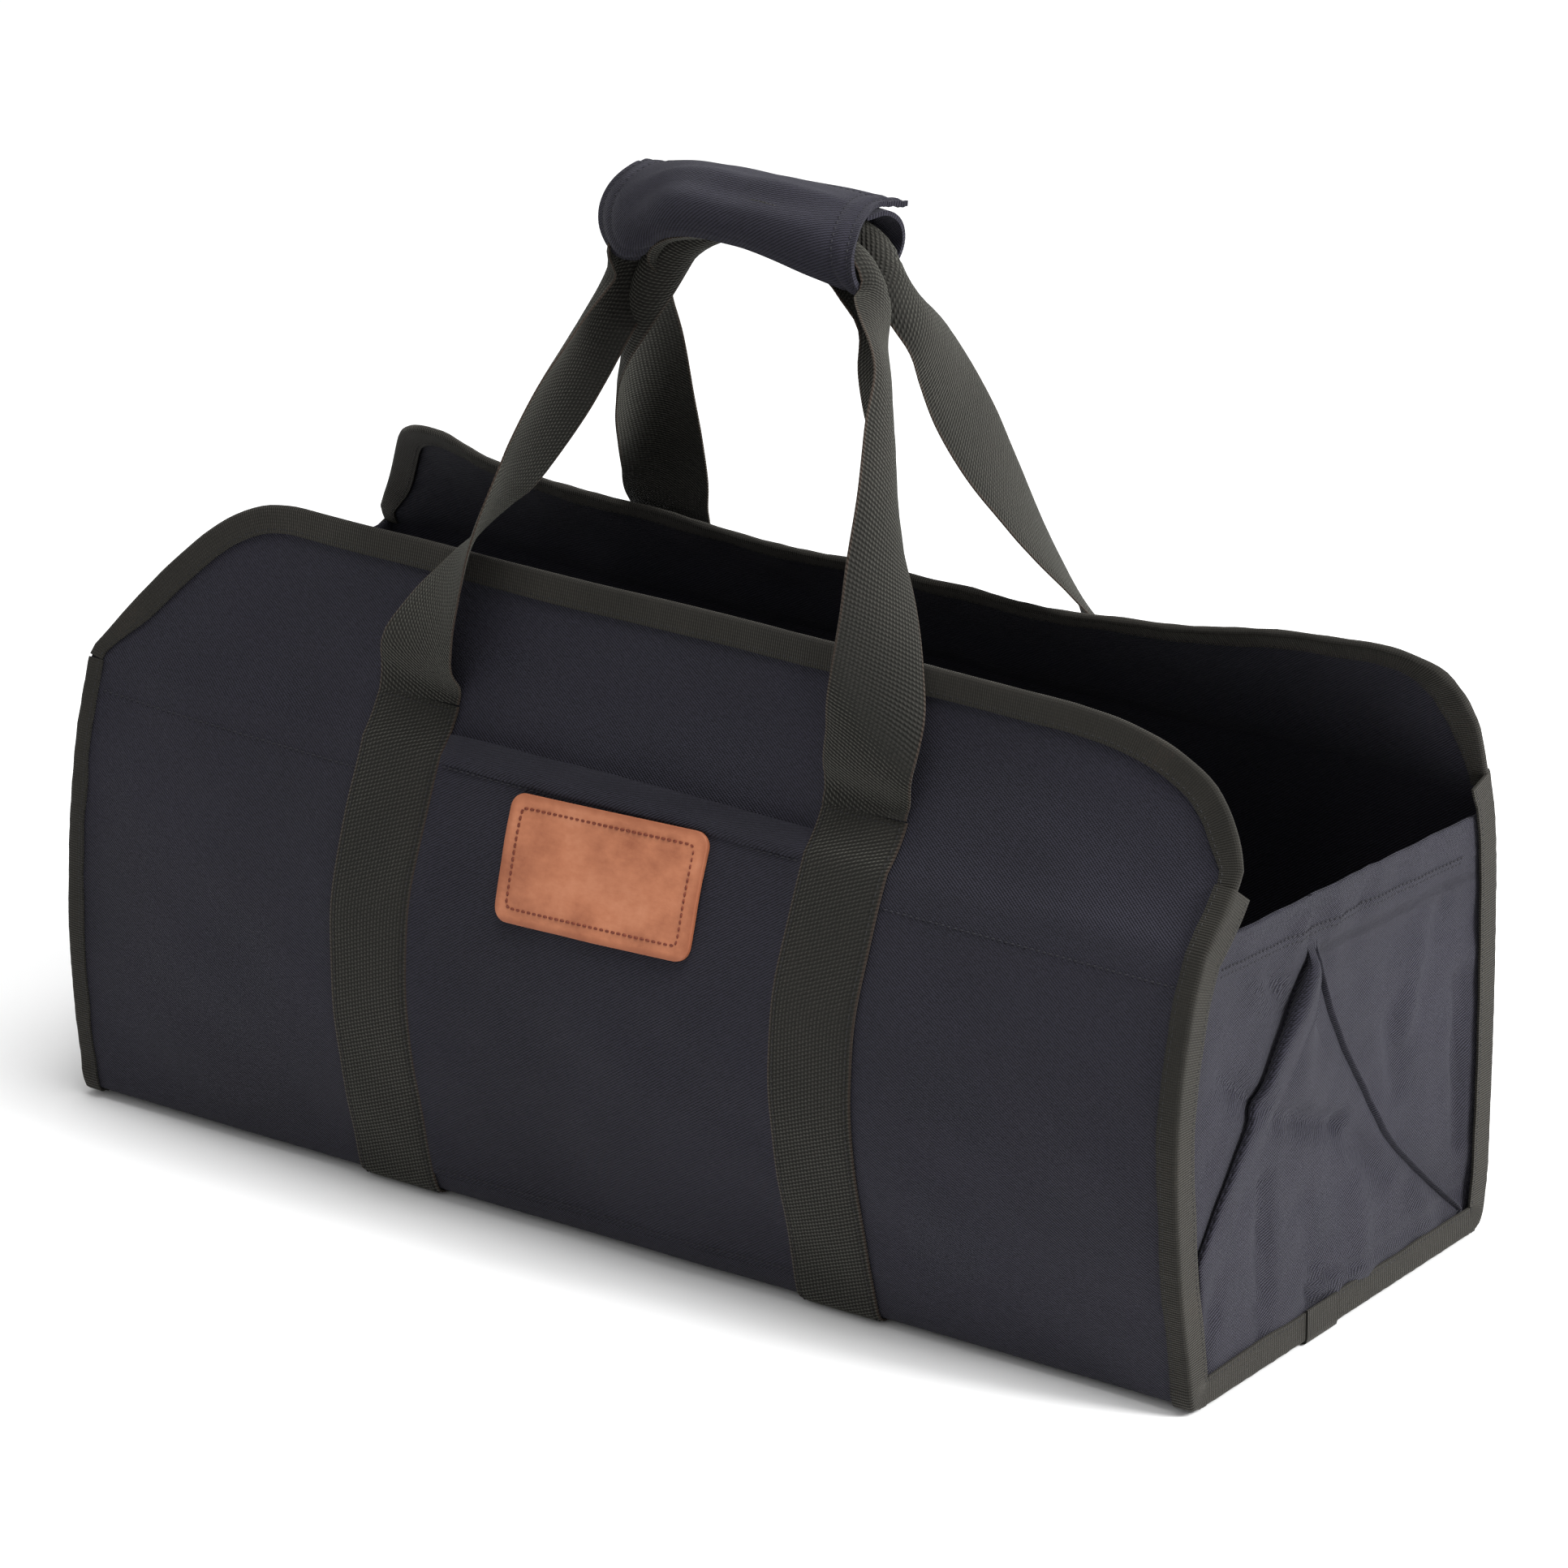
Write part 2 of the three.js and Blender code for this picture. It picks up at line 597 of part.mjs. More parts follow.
add("main_panel", mainPanel(), materials.canvas);
add("end_gusset_right", endGusset(1), materials.canvas);
add("end_gusset_left", endGusset(-1), materials.canvas);
add("seam_binding_right", seamBinding(1), materials.tape);
add("seam_binding_left", seamBinding(-1), materials.tape);
add("flap_binding_front", flapBinding(FRONT), materials.tape);
add("flap_binding_back", flapBinding(BACK), materials.tape);
add("strap_left", strap(-strapSpacing / 2), materials.webbing);
add("strap_right", strap(strapSpacing / 2), materials.webbing);
add("handle_front", handle(FRONT), materials.webbing);
add("handle_back", handle(BACK), materials.webbing);
add("handle_wrap", handleWrap(), materials.canvas);
add("front_pocket", frontPocket(), materials.canvas);
add("leather_patch", leatherPatch(), materials.leather);

export default carrier;
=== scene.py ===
import math

import bpy
import numpy as np
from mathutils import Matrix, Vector


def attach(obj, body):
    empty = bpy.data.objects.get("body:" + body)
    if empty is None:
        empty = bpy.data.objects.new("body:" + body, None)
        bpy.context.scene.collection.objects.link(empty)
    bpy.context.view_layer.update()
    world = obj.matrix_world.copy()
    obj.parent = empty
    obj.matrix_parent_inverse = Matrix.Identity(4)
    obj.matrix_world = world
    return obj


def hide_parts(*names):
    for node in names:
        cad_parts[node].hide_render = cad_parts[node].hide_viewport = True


# Canvas log carrier: looks. Shapes are worked out in millimetres and made in metres.
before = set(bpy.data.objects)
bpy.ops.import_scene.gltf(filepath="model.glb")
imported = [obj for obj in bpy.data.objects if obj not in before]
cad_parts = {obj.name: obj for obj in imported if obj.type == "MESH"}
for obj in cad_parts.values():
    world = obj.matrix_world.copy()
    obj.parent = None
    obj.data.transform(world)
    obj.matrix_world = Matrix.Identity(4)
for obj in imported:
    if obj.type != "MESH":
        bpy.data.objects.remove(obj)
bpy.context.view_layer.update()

FRONT, BACK = -1, 1
HALF_LENGTH = 305.0
HALF_DEPTH = 118.0
GUSSET_HEIGHT = 211.0
FLAP_RISE = 83.0
WALL_CLOTH = 236.0
FLAP_CLOTH = 94.0
CORNER_RUN = 95.0
PANEL_FLOOR = 2.5
CANVAS = 1.3
STRAP_SPACING = 242.0
WEB_WIDTH = 44.0
WEB = 2.0
WEB_GAP = 0.2
STRAP_TOP = 1.25
POCKET_FOOT = 0.125
POCKET_MOUTH = 1.1
FLAP_TAPE = 12.0
HANDLE_RISE = 229.0


# ---------------------------------------------------------------- maths helpers
def smooth_table(rows):
    """Smooth curves through a table whose first column is the place."""
    rows = np.array(rows, float)
    x, y = rows[:, 0], rows[:, 1:]
    h = np.diff(x)
    d = np.diff(y, axis=0) / h[:, None]
    m = np.empty_like(y)
    m[1:-1] = (d[:-1] * h[1:, None] + d[1:] * h[:-1, None]) / (h[:-1] + h[1:])[:, None]
    m[0], m[-1] = d[0], d[-1]

    def at(place):
        place = np.clip(np.asarray(place, float), x[0], x[-1])
        k = np.clip(np.searchsorted(x, place, side="right") - 1, 0, len(x) - 2)
        t = ((place - x[k]) / h[k])[..., None]
        hk = h[k][..., None]
        return ((2 * t**3 - 3 * t**2 + 1) * y[k] + (t**3 - 2 * t**2 + t) * hk * m[k]
                + (3 * t**2 - 2 * t**3) * y[k + 1] + (t**3 - t**2) * hk * m[k + 1])

    return at


def rolling(u, v, length, seed, count=9):
    """Gentle unevenness, about -1 to 1, with humps about length apart."""
    rng = np.random.default_rng(seed)
    total = np.zeros(np.broadcast(u, v).shape)
    for _ in range(count):
        angle = rng.uniform(0, math.tau)
        k = math.tau / (length * rng.uniform(0.7, 1.5))
        total += np.sin(k * (u * math.cos(angle) + v * math.sin(angle)) + rng.uniform(0, math.tau))
    return total / math.sqrt(count)


def way_along(points, axis=0):
    """How far each point lies along its row of points, from the row's first."""
    steps = np.linalg.norm(np.diff(points, axis=axis), axis=-1)
    return np.concatenate([np.zeros_like(steps.take([0], axis)), np.cumsum(steps, axis)], axis)


def pairs(u, v):
    return np.stack(np.broadcast_arrays(u, v), -1)


def unit(v):
    return v / np.maximum(np.linalg.norm(v, axis=-1, keepdims=True), 1e-9)


def step(a, b, x):
    t = np.clip((x - a) / (b - a), 0, 1)
    return t * t * (3 - 2 * t)


# ---------------------------------------------------------------- the bag's walls
# height, then out and up at the left end, the middle and the right end
WALL_SECTIONS = {
    FRONT: smooth_table([
        [0, 0.97, 0, 0.98, 0, 0.985, 0],
        [0.08, 1.03, 0.016, 1.04, 0.014, 1.04, 0.014],
        [0.165, 1.055, 0.1, 1.09, 0.105, 1.07, 0.1],
        [0.3, 1.085, 0.24, 1.15, 0.245, 1.12, 0.24],
        [0.44, 1.1, 0.395, 1.21, 0.395, 1.155, 0.39],
        [0.577, 1.09, 0.55, 1.235, 0.55, 1.175, 0.545],
        [0.713, 1.065, 0.7, 1.21, 0.7, 1.165, 0.695],
        [0.84, 1.02, 0.84, 1.13, 0.835, 1.12, 0.83],
        [0.94, 0.965, 0.945, 1.05, 0.94, 1.06, 0.94],
        [1, 0.93, 1, 1.0, 1, 1.01, 1],
        [1.38, 0.8, 1.36, 0.84, 1.35, 0.79, 1.33],
        [1.72, 0.69, 1.7, 0.745, 1.7, 0.69, 1.66],
        [2, 0.62, 1.98, 0.695, 2, 0.63, 1.94],
    ]),
    BACK: smooth_table([
        [0, 0.94, 0, 0.92, 0, 0.94, 0],
        [0.08, 0.99, 0.022, 1.03, 0.025, 0.99, 0.022],
        [0.165, 1.02, 0.105, 1.09, 0.105, 1.02, 0.105],
        [0.3, 1.03, 0.25, 1.16, 0.245, 1.03, 0.25],
        [0.44, 1.035, 0.405, 1.215, 0.395, 1.035, 0.405],
        [0.577, 1.035, 0.56, 1.24, 0.55, 1.035, 0.56],
        [0.713, 1.03, 0.715, 1.2, 0.7, 1.03, 0.715],
        [0.84, 1.02, 0.855, 1.11, 0.84, 1.02, 0.855],
        [0.94, 1.0, 0.95, 1.03, 0.945, 1.0, 0.95],
        [1, 0.98, 1, 0.97, 1, 0.98, 1],
        [1.38, 0.88, 1.36, 0.8, 1.32, 0.89, 1.36],
        [1.72, 0.78, 1.69, 0.65, 1.54, 0.79, 1.7],
        [2, 0.69, 1.94, 0.53, 1.69, 0.71, 1.96],
    ]),
}
# share of the corner run in from the end, share of the flap that is there
FLAP_CORNERS = {
    (FRONT, -1): smooth_table([[0, 0.05], [0.1, 0.22], [0.21, 0.39], [0.42, 0.66], [0.64, 0.87],
                               [0.82, 0.965], [1, 1]]),
    (FRONT, 1): smooth_table([[0, 0.42], [0.04, 0.52], [0.1, 0.63], [0.2, 0.75], [0.4, 0.88],
                              [0.7, 0.97], [1, 1]]),
    (BACK, -1): smooth_table([[0, 0.1], [0.1, 0.3], [0.22, 0.55], [0.34, 0.78], [0.46, 0.91],
                              [0.64, 0.98], [1, 1]]),
    (BACK, 1): smooth_table([[0, 0.45], [0.04, 0.63], [0.1, 0.78], [0.2, 0.89], [0.36, 0.96],
                             [0.6, 0.99], [1, 1]]),
}


def flap_reach(side, x):
    x = np.asarray(x, float)
    run = np.clip((HALF_LENGTH - np.abs(x)) / CORNER_RUN, 0, 1)
    left = FLAP_CORNERS[side, -1](run)[..., 0]
    right = FLAP_CORNERS[side, 1](run)[..., 0]
    return np.where(x < 0, left, right)


def bare_wall(side, x, height):
    along = np.clip(x / HALF_LENGTH, -1, 1)
    t = WALL_SECTIONS[side](np.maximum(0, height))
    weight = np.abs(along) ** 2.5
    end_out = np.where(along < 0, t[..., 0], t[..., 4])
    end_up = np.where(along < 0, t[..., 1], t[..., 5])
    out = t[..., 2] + (end_out - t[..., 2]) * weight
    up = t[..., 3] + (end_up - t[..., 3]) * weight
    out = np.where(height < 0, out * (1 + height), out)
    z = PANEL_FLOOR + np.clip(up, 0, 1) * GUSSET_HEIGHT + np.maximum(0, up - 1) * FLAP_RISE
    return side * out * HALF_DEPTH, z


def slack(side, x, height):
    """How far the cloth stands off its plain shape: soft rolls, and a wavy free edge."""
    seed = 11 if side == FRONT else 23
    cloth = np.where(height < 1, height * WALL_CLOTH, WALL_CLOTH + (height - 1) * FLAP_CLOTH)
    free = step(0.02, 0.2, height) * step(0, 22, HALF_LENGTH - np.abs(x))
    rolls = 1.1 * rolling(x, cloth * 0.55, 150, seed) + 0.45 * rolling(x, cloth, 55, seed + 1)
    edge = step(1.25, 2, height) * 1.6 * rolling(x, 0, 130, seed + 2)
    return free * (rolls + edge)


def wall(side, x, height, lift=0.0):
    """A point of the wall, lifted outwards off the outer face of its cloth."""
    x, height = np.broadcast_arrays(np.asarray(x, float), np.asarray(height, float))
    small = 0.02
    held = np.minimum(2, height)
    y, z = bare_wall(side, x, held)
    y2, z2 = bare_wall(side, x, np.minimum(2, held + small))
    y1, z1 = bare_wall(side, x, np.maximum(-1, held - small))
    d = unit(np.stack([y2 - y1, z2 - z1], -1))
    past = (height - held) * FLAP_CLOTH
    off = lift + slack(side, x, held)
    return np.stack([x, y + past * d[..., 0] + off * side * d[..., 1],
                     z + past * d[..., 1] - off * side * d[..., 0]], -1)


def wall_normal(side, x, height):
    return unit(wall(side, x, height, 1.0) - wall(side, x, height, 0.0))


# ---------------------------------------------------------------- mesh helpers
def lay_flat(mesh, layer, uvs):
    """Gives each point its place on the flat cloth, in metres."""
    loops = np.zeros(len(mesh.loops), int)
    mesh.loops.foreach_get("vertex_index", loops)
    layer.data.foreach_set("uv", (uvs[loops] * 0.001).astype(np.float32).ravel())


def finish_mesh(name, points, faces, uvs, material, nodes=(), smooth=40):
    mesh = bpy.data.meshes.new(name)
    mesh.from_pydata((np.asarray(points) * 0.001).tolist(), [], faces)
    lay_flat(mesh, mesh.uv_layers.new(name="UVMap"), uvs)
    mesh.update()
    obj = bpy.data.objects.new(name, mesh)
    bpy.context.scene.collection.objects.link(obj)
    bpy.ops.object.select_all(action="DESELECT")
    obj.select_set(True)
    bpy.context.view_layer.objects.active = obj
    bpy.ops.object.mode_set(mode="EDIT")
    bpy.ops.mesh.select_all(action="SELECT")
    bpy.ops.mesh.normals_make_consistent(inside=False)
    bpy.ops.object.mode_set(mode="OBJECT")
    bpy.ops.object.shade_smooth_by_angle(angle=math.radians(smooth))
    obj.select_set(False)
    mesh.materials.append(material)
    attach(obj, "root")
    if nodes:
        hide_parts(*nodes)
    return obj


def cloth_faces(columns, rows):
    """Quads of a two-faced sheet of columns x rows points a face, with its rim."""
    def at(i, j, face):
        return (face * columns + i) * rows + j

    faces = []
    for i in range(columns - 1):
        for j in range(rows - 1):
            faces.append((at(i, j, 0), at(i + 1, j, 0), at(i + 1, j + 1, 0), at(i, j + 1, 0)))
            faces.append((at(i, j, 1), at(i, j + 1, 1), at(i + 1, j + 1, 1), at(i + 1, j, 1)))
        faces.append((at(i, 0, 0), at(i, 0, 1), at(i + 1, 0, 1), at(i + 1, 0, 0)))
        end = rows - 1
        faces.append((at(i, end, 1), at(i, end, 0), at(i + 1, end, 0), at(i + 1, end, 1)))
    end = columns - 1
    for j in range(rows - 1):
        faces.append((at(0, j, 1), at(0, j, 0), at(0, j + 1, 0), at(0, j + 1, 1)))
        faces.append((at(end, j, 0), at(end, j, 1), at(end, j + 1, 1), at(end, j + 1, 0)))
    return faces


def cloth_piece(name, outer, inner, uv, material, nodes=(), smooth=40):
    columns, rows = outer.shape[:2]
    points = np.concatenate([outer.reshape(-1, 3), inner.reshape(-1, 3)])
    uvs = np.concatenate([uv.reshape(-1, 2)] * 2)
    return finish_mesh(name, points, cloth_faces(columns, rows), uvs, material, nodes, smooth)


def band_faces(count, around):
    """Quads of a band with count closed cross-sections of around points, its ends capped."""
    faces = []
    for i in range(count - 1):
        for j in range(around):
            n = (j + 1) % around
            faces.append((i * around + j, i * around + n, (i + 1) * around + n, (i + 1) * around + j))
    faces.append(tuple(range(around)))
    faces.append(tuple((count - 1) * around + j for j in reversed(range(around))))
    return faces


def band_piece(name, rings, material, nodes=(), across=None):
    """A tape or webbing. UV runs across its section and along its length."""
    rings = np.array(rings)
    if across is None:
        across = way_along(rings[0])
    uv = pairs(across[None, :], way_along(rings.mean(axis=1))[:, None])
    return finish_mesh(name, rings.reshape(-1, 3), band_faces(*rings.shape[:2]), uv.reshape(-1, 2),
                       material, nodes)


def resample(points, spacing):
    length = way_along(points)
    count = max(2, int(round(length[-1] / spacing)) + 1)
    want = np.linspace(0, length[-1], count)
    return np.stack([np.interp(want, length, points[:, k]) for k in range(points.shape[1])], -1)


# One stitch: a short thread that dips at both ends. Length 1 along X, radius 1 up and across.
STITCH_RINGS = [(-0.36, 0.8, -0.25), (0.0, 1.0, 0.15), (0.36, 0.8, -0.25)]
STITCH_SIDES = 5


class Stitches:
    """Stitches on several lines, gathered into one piece."""

    def __init__(self):
        self.points, self.faces, self.count = [], [], 0

    def line(self, path, normals, pitch=3.3, length=2.4, radius=0.26):
        data = resample(np.concatenate([path, normals], 1), 1.0)
        path, normals = data[:, :3], unit(data[:, 3:])
        travel = way_along(path)
        number = int(travel[-1] / pitch)
        if number < 1:
            return
        starts = (travel[-1] - number * pitch) / 2 + np.arange(number) * pitch

        def at(way, rows):
            return np.stack([np.interp(starts + way, travel, rows[:, k]) for k in range(3)], -1)

        a, b = at((pitch - length) / 2, path), at((pitch + length) / 2, path)
        n = unit(at(pitch / 2, normals))
        t = b - a
        long = np.linalg.norm(t, axis=1, keepdims=True)
        t = t / long
        side = unit(np.cross(n, t))
        middle = (a + b) / 2
        angles = np.arange(STITCH_SIDES) / STITCH_SIDES * math.tau
        rings = [middle - t * long / 2 - n * radius * 0.9]
        for along, wide, up in STITCH_RINGS:
            for angle in angles:
                rings.append(middle + t * long * along + side * radius * wide * math.cos(angle) * 1.15
                             + n * radius * (wide * math.sin(angle) + up))
        rings.append(middle + t * long / 2 - n * radius * 0.9)
        each = np.stack(rings, 1)
        s = STITCH_SIDES
        template = []
        for k in range(s):
            m = (k + 1) % s
            template.append((0, 1 + m, 1 + k))
            for r in (1, 1 + s):
                template.append((r + k, r + m, r + s + m, r + s + k))
            template.append((1 + 2 * s + k, 1 + 2 * s + m, 1 + 3 * s))
        size = each.shape[1]
        for k in range(number):
            base = self.count + k * size
            self.faces.extend(tuple(base + v for v in face) for face in template)
        self.points.append(each.reshape(-1, 3))
        self.count += number * size

    def piece(self, name, material, slot):
        points = np.concatenate(self.points)
        return finish_mesh(name, points, self.faces, points[:, :2], material, smooth=60)


# ---------------------------------------------------------------- materials
class Nodes:
    """Short ways to make a material's nodes."""

    def __init__(self, name):
        self.material = bpy.data.materials.new(name)
        self.material.use_nodes = True
        self.tree = self.material.node_tree
        self.shader = self.tree.nodes["Principled BSDF"]
        self.uv = self.tree.nodes.new("ShaderNodeUVMap").outputs["UV"]
        self.uv.node.uv_map = "UVMap"
        self.place = self.tree.nodes.new("ShaderNodeTexCoord").outputs["Object"]

    def put(self, value, socket):
        if isinstance(value, bpy.types.NodeSocket):
            self.tree.links.new(value, socket)
        elif value is not None:
            socket.default_value = value

    def math(self, how, a, b=None, c=None):
        node = self.tree.nodes.new("ShaderNodeMath")
        node.operation = how
        for value, socket in zip((a, b, c), node.inputs):
            self.put(value, socket)
        return node.outputs[0]

    def blend(self, a, share_a, b, share_b):
        return self.math("ADD", self.math("MULTIPLY", a, share_a), self.math("MULTIPLY", b, share_b))

    def swing(self, tone, value, share):
        """tone, moved by a share of how far value is from its middle."""
        return self.math("ADD", tone, self.math("MULTIPLY", self.math("SUBTRACT", value, 0.5), share))

    def crossed(self, cords, rows, least):
        """Cords that dip to a least share of their height between the rows."""
        return self.math("MULTIPLY", cords, self.math("ADD", least, self.math("MULTIPLY", rows, 1 - least)))

    def painted_shade_in_hollows(self, colour, weave, share, dark):
        """colour, with painted shade where the weave lies low."""
        return self.mix(self.math("MULTIPLY", self.math("SUBTRACT", 1.0, weave), share), colour, dark)

    def mapped(self, vector, scale=(1, 1, 1), turn=0.0):
        node = self.tree.nodes.new("ShaderNodeMapping")
        self.put(vector, node.inputs["Vector"])
        node.inputs["Scale"].default_value = scale
        node.inputs["Rotation"].default_value = (0, 0, turn)
        return node.outputs[0]

    def noise(self, vector, scale, detail=3.0, rough=0.5):
        node = self.tree.nodes.new("ShaderNodeTexNoise")
        self.put(vector, node.inputs["Vector"])
        node.inputs["Scale"].default_value = scale
        node.inputs["Detail"].default_value = detail
        node.inputs["Roughness"].default_value = rough
        return node.outputs["Fac"]

    def wave(self, vector, scale, direction, wobble):
        node = self.tree.nodes.new("ShaderNodeTexWave")
        node.wave_type = "BANDS"
        node.bands_direction = direction
        node.wave_profile = "SIN"
        self.put(vector, node.inputs["Vector"])
        node.inputs["Scale"].default_value = scale
        node.inputs["Distortion"].default_value = wobble
        node.inputs["Detail"].default_value = 1.0
        node.inputs["Detail Scale"].default_value = 2.0
        return node.outputs["Fac"]

    def ramp(self, value, stops):
        node = self.tree.nodes.new("ShaderNodeValToRGB")
        self.put(value, node.inputs["Fac"])
        elements = node.color_ramp.elements
        while len(elements) < len(stops):
            elements.new(0.5)
        for element, (at, colour) in zip(elements, stops):
            element.position = at
            element.color = (*colour, 1)
        return node.outputs["Color"]

    def mix(self, share, a, b):
        node = self.tree.nodes.new("ShaderNodeMix")
        node.data_type = "RGBA"
        self.put(share, node.inputs["Factor"])
        for value, socket in ((a, node.inputs["A"]), (b, node.inputs["B"])):
            self.put((*value, 1) if isinstance(value, tuple) else value, next(
                s for s in node.inputs if s.name == socket.name and s.type == "RGBA"))
        return next(s for s in node.outputs if s.type == "RGBA")

    def bump(self, height, strength, distance, normal=None):
        node = self.tree.nodes.new("ShaderNodeBump")
        self.put(height, node.inputs["Height"])
        node.inputs["Strength"].default_value = strength
        node.inputs["Distance"].default_value = distance
        if normal is not None:
            self.put(normal, node.inputs["Normal"])
        return node.outputs["Normal"]

    def done(self, colour, rough, normal, sheen=0.0, sheen_tint=(1, 1, 1), specular=0.3):
        self.put(colour, self.shader.inputs["Base Color"])
        self.put(rough, self.shader.inputs["Roughness"])
        self.put(normal, self.shader.inputs["Normal"])
        self.shader.inputs["Sheen Weight"].default_value = sheen
        self.shader.inputs["Sheen Roughness"].default_value = 0.45
        self.shader.inputs["Sheen Tint"].default_value = (*sheen_tint, 1)
        self.shader.inputs["Specular IOR Level"].default_value = specular
        return self.material


def srgb(*rgb):
    """Linear colour from 0 to 255 screen values."""
    return tuple((c / 255 / 12.92) if c / 255 <= 0.04045 else ((c / 255 + 0.055) / 1.055) ** 2.4
                 for c in rgb)


def canvas_material():
    """Cotton duck: a fine slanting weave with painted shade and highlight on its lines, slubs and a soft
    unevenness of the dye.
    """
    n = Nodes("navy canvas")
    slanting = n.wave(n.mapped(n.uv, turn=math.radians(55)), 275, "X", 0.7)
    weave = n.blend(slanting, 0.7, n.wave(n.uv, 400, "Y", 0.8), 0.3)
    slub = n.noise(n.mapped(n.uv, scale=(1, 6, 1)), 160, 2.0)
    broad = n.noise(n.place, 7.0, 4.0, 0.55)
    fine = n.noise(n.uv, 900, 2.0)
    # the weave swings the tone: painted shade along its low lines and painted highlight along its high lines
    tone = n.swing(n.blend(broad, 0.5, n.math("ADD", slub, fine), 0.25), weave, 0.85)
    tone = n.swing(tone, n.noise(n.mapped(n.uv, scale=(1, 1.6, 1)), 380, 4.0, 0.65), 0.7)
    colour = n.ramp(tone, [(0.2, srgb(13, 12, 18)), (0.8, srgb(39, 38, 48))])
    rough = n.math("ADD", 0.78, n.math("MULTIPLY", broad, 0.16))
    normal = n.bump(weave, 0.9, 0.0005)
    normal = n.bump(n.noise(n.uv, 260, 3.0), 0.3, 0.0005, normal)
    normal = n.bump(n.noise(n.place, 34, 3.0, 0.6), 0.35, 0.002, normal)
    return n.done(colour, rough, normal, 0.06, (0.9, 0.9, 1.0), 0.18)


def tape_material():
    """Ribbed tape: ribs across it with painted shade between them, and a brown cast in places."""
    n = Nodes("ribbed tape")
    ribs = n.wave(n.uv, 270, "Y", 0.4)
    rows = n.wave(n.uv, 330, "X", 0.6)
    weave = n.crossed(ribs, rows, 0.55)
    broad = n.noise(n.place, 26.0, 4.0, 0.6)
    fine = n.noise(n.uv, 700, 2.0)
    colour = n.ramp(n.blend(broad, 0.65, fine, 0.35),
                    [(0.3, srgb(19, 18, 14)), (0.58, srgb(29, 27, 22)), (0.8, srgb(44, 35, 28))])
    # painted shade in the hollows between the ribs and rows
    colour = n.painted_shade_in_hollows(colour, weave, 0.5, srgb(14, 13, 10))
    return n.done(colour, 0.85, n.bump(weave, 0.8, 0.0005), 0.1, (1, 0.95, 0.85), 0.22)


def webbing_material():
    """Heavy webbing: a twill of thick cords with painted shade between them, its sides a little browner."""
    n = Nodes("webbing")
    cords = n.wave(n.mapped(n.uv, turn=math.radians(24)), 185, "Y", 0.9)
    rows = n.wave(n.uv, 170, "X", 0.4)
    weave = n.crossed(cords, rows, 0.4)
    broad = n.noise(n.place, 14.0, 4.0, 0.6)
    fine = n.noise(n.uv, 520, 2.0)
    colour = n.ramp(n.blend(broad, 0.5, fine, 0.5),
                    [(0.28, srgb(26, 27, 24)), (0.6, srgb(38, 36, 33)), (0.85, srgb(53, 49, 45))])
    # painted shade in the hollows between the cords
    colour = n.painted_shade_in_hollows(colour, weave, 0.7, srgb(12, 12, 9))
    split = n.tree.nodes.new("ShaderNodeSeparateXYZ")
    n.put(n.uv, split.inputs[0])
    edge = n.math("COMPARE", n.math("ABSOLUTE", split.outputs["X"]), WEB_WIDTH / 2000, 0.0009)
    colour = n.mix(n.math("MULTIPLY", edge, 0.3), colour, srgb(66, 48, 38))
    return n.done(colour, 0.88, n.bump(weave, 1.0, 0.0009), 0.1, (1, 1, 0.85), 0.2)


def leather_material():
    """Tan leather: mottled, creased, with pores, and darker round its rim."""
    n = Nodes("tan leather")
    mottle = n.noise(n.place, 38.0, 5.0, 0.62)
    pores = n.noise(n.place, 1500.0, 2.0)
    creases = n.noise(n.mapped(n.place, scale=(1, 1, 2.2)), 210.0, 6.0, 0.7)
    colour = n.ramp(n.blend(mottle, 0.75, creases, 0.25),
                    [(0.3, srgb(134, 76, 49)), (0.52, srgb(164, 102, 71)), (0.75, srgb(183, 123, 92))])
    worn = n.tree.nodes.new("ShaderNodeAttribute")
    worn.attribute_name = "rim"
    colour = n.mix(n.math("MULTIPLY", worn.outputs["Fac"], 0.6), colour, srgb(122, 64, 36))
    rough = n.math("ADD", 0.5, n.math("MULTIPLY", creases, 0.25))
    normal = n.bump(creases, 0.3, 0.0005)
    normal = n.bump(pores, 0.15, 0.0002, normal)
    return n.done(colour, rough, normal, specular=0.4)


def thread_material(name, colour):
    n = Nodes(name)
    twist = n.noise(n.place, 1800.0, 1.0)
    shade = n.ramp(twist, [(at, tuple(c * share for c in colour)) for at, share in ((0.3, 0.7), (0.7, 1.35))])
    return n.done(shade, 0.7, n.bump(twist, 0.3, 0.0001), specular=0.35)


canvas = canvas_material()
tape = tape_material()
webbing = webbing_material()
leather = leather_material()
dark_thread = thread_material("dark thread", srgb(20, 19, 20))
navy_thread = thread_material("navy thread", srgb(17, 16, 24))
brown_thread = thread_material("brown thread", srgb(98, 42, 24))


# ---------------------------------------------------------------- main panel
def panel_stations():
    """Places along the panel, closer together at its ends."""
    ends = np.linspace(0, 1, 18) ** 1.6 * 60
    middle = np.linspace(-HALF_LENGTH + 60, HALF_LENGTH - 60, 104)[1:-1]
    return np.concatenate([-HALF_LENGTH + ends, middle, (HALF_LENGTH - ends)[::-1]])


def main_panel():
    xs = panel_stations()
    wall_rows = np.linspace(0, 1, 52) ** 0.9
    flap_rows = np.linspace(0, 1, 21)[1:]
    under = np.linspace(0, -1, 12)[1:]
    faces = []
    for lift in (0, -CANVAS):
        rows = []
        for side in (FRONT, BACK):
            reach = flap_reach(side, xs)
            whole = [wall(side, xs, h, lift) for h in np.concatenate([under[::-1], wall_rows])]
            whole += [wall(side, xs, 1 + share * reach, lift) for share in flap_rows]
            rows += whole[::-1] if side == FRONT else whole[1:]
        faces.append(np.stack(rows, 1))
    outer, inner = faces
    length = way_along(outer, 1)
    foot = length[:, [outer.shape[1] // 2]]
    return cloth_piece("canvas_panel", outer, inner, pairs(xs[:, None], length - foot),
                       canvas, ["main_panel"])


panel = main_panel()


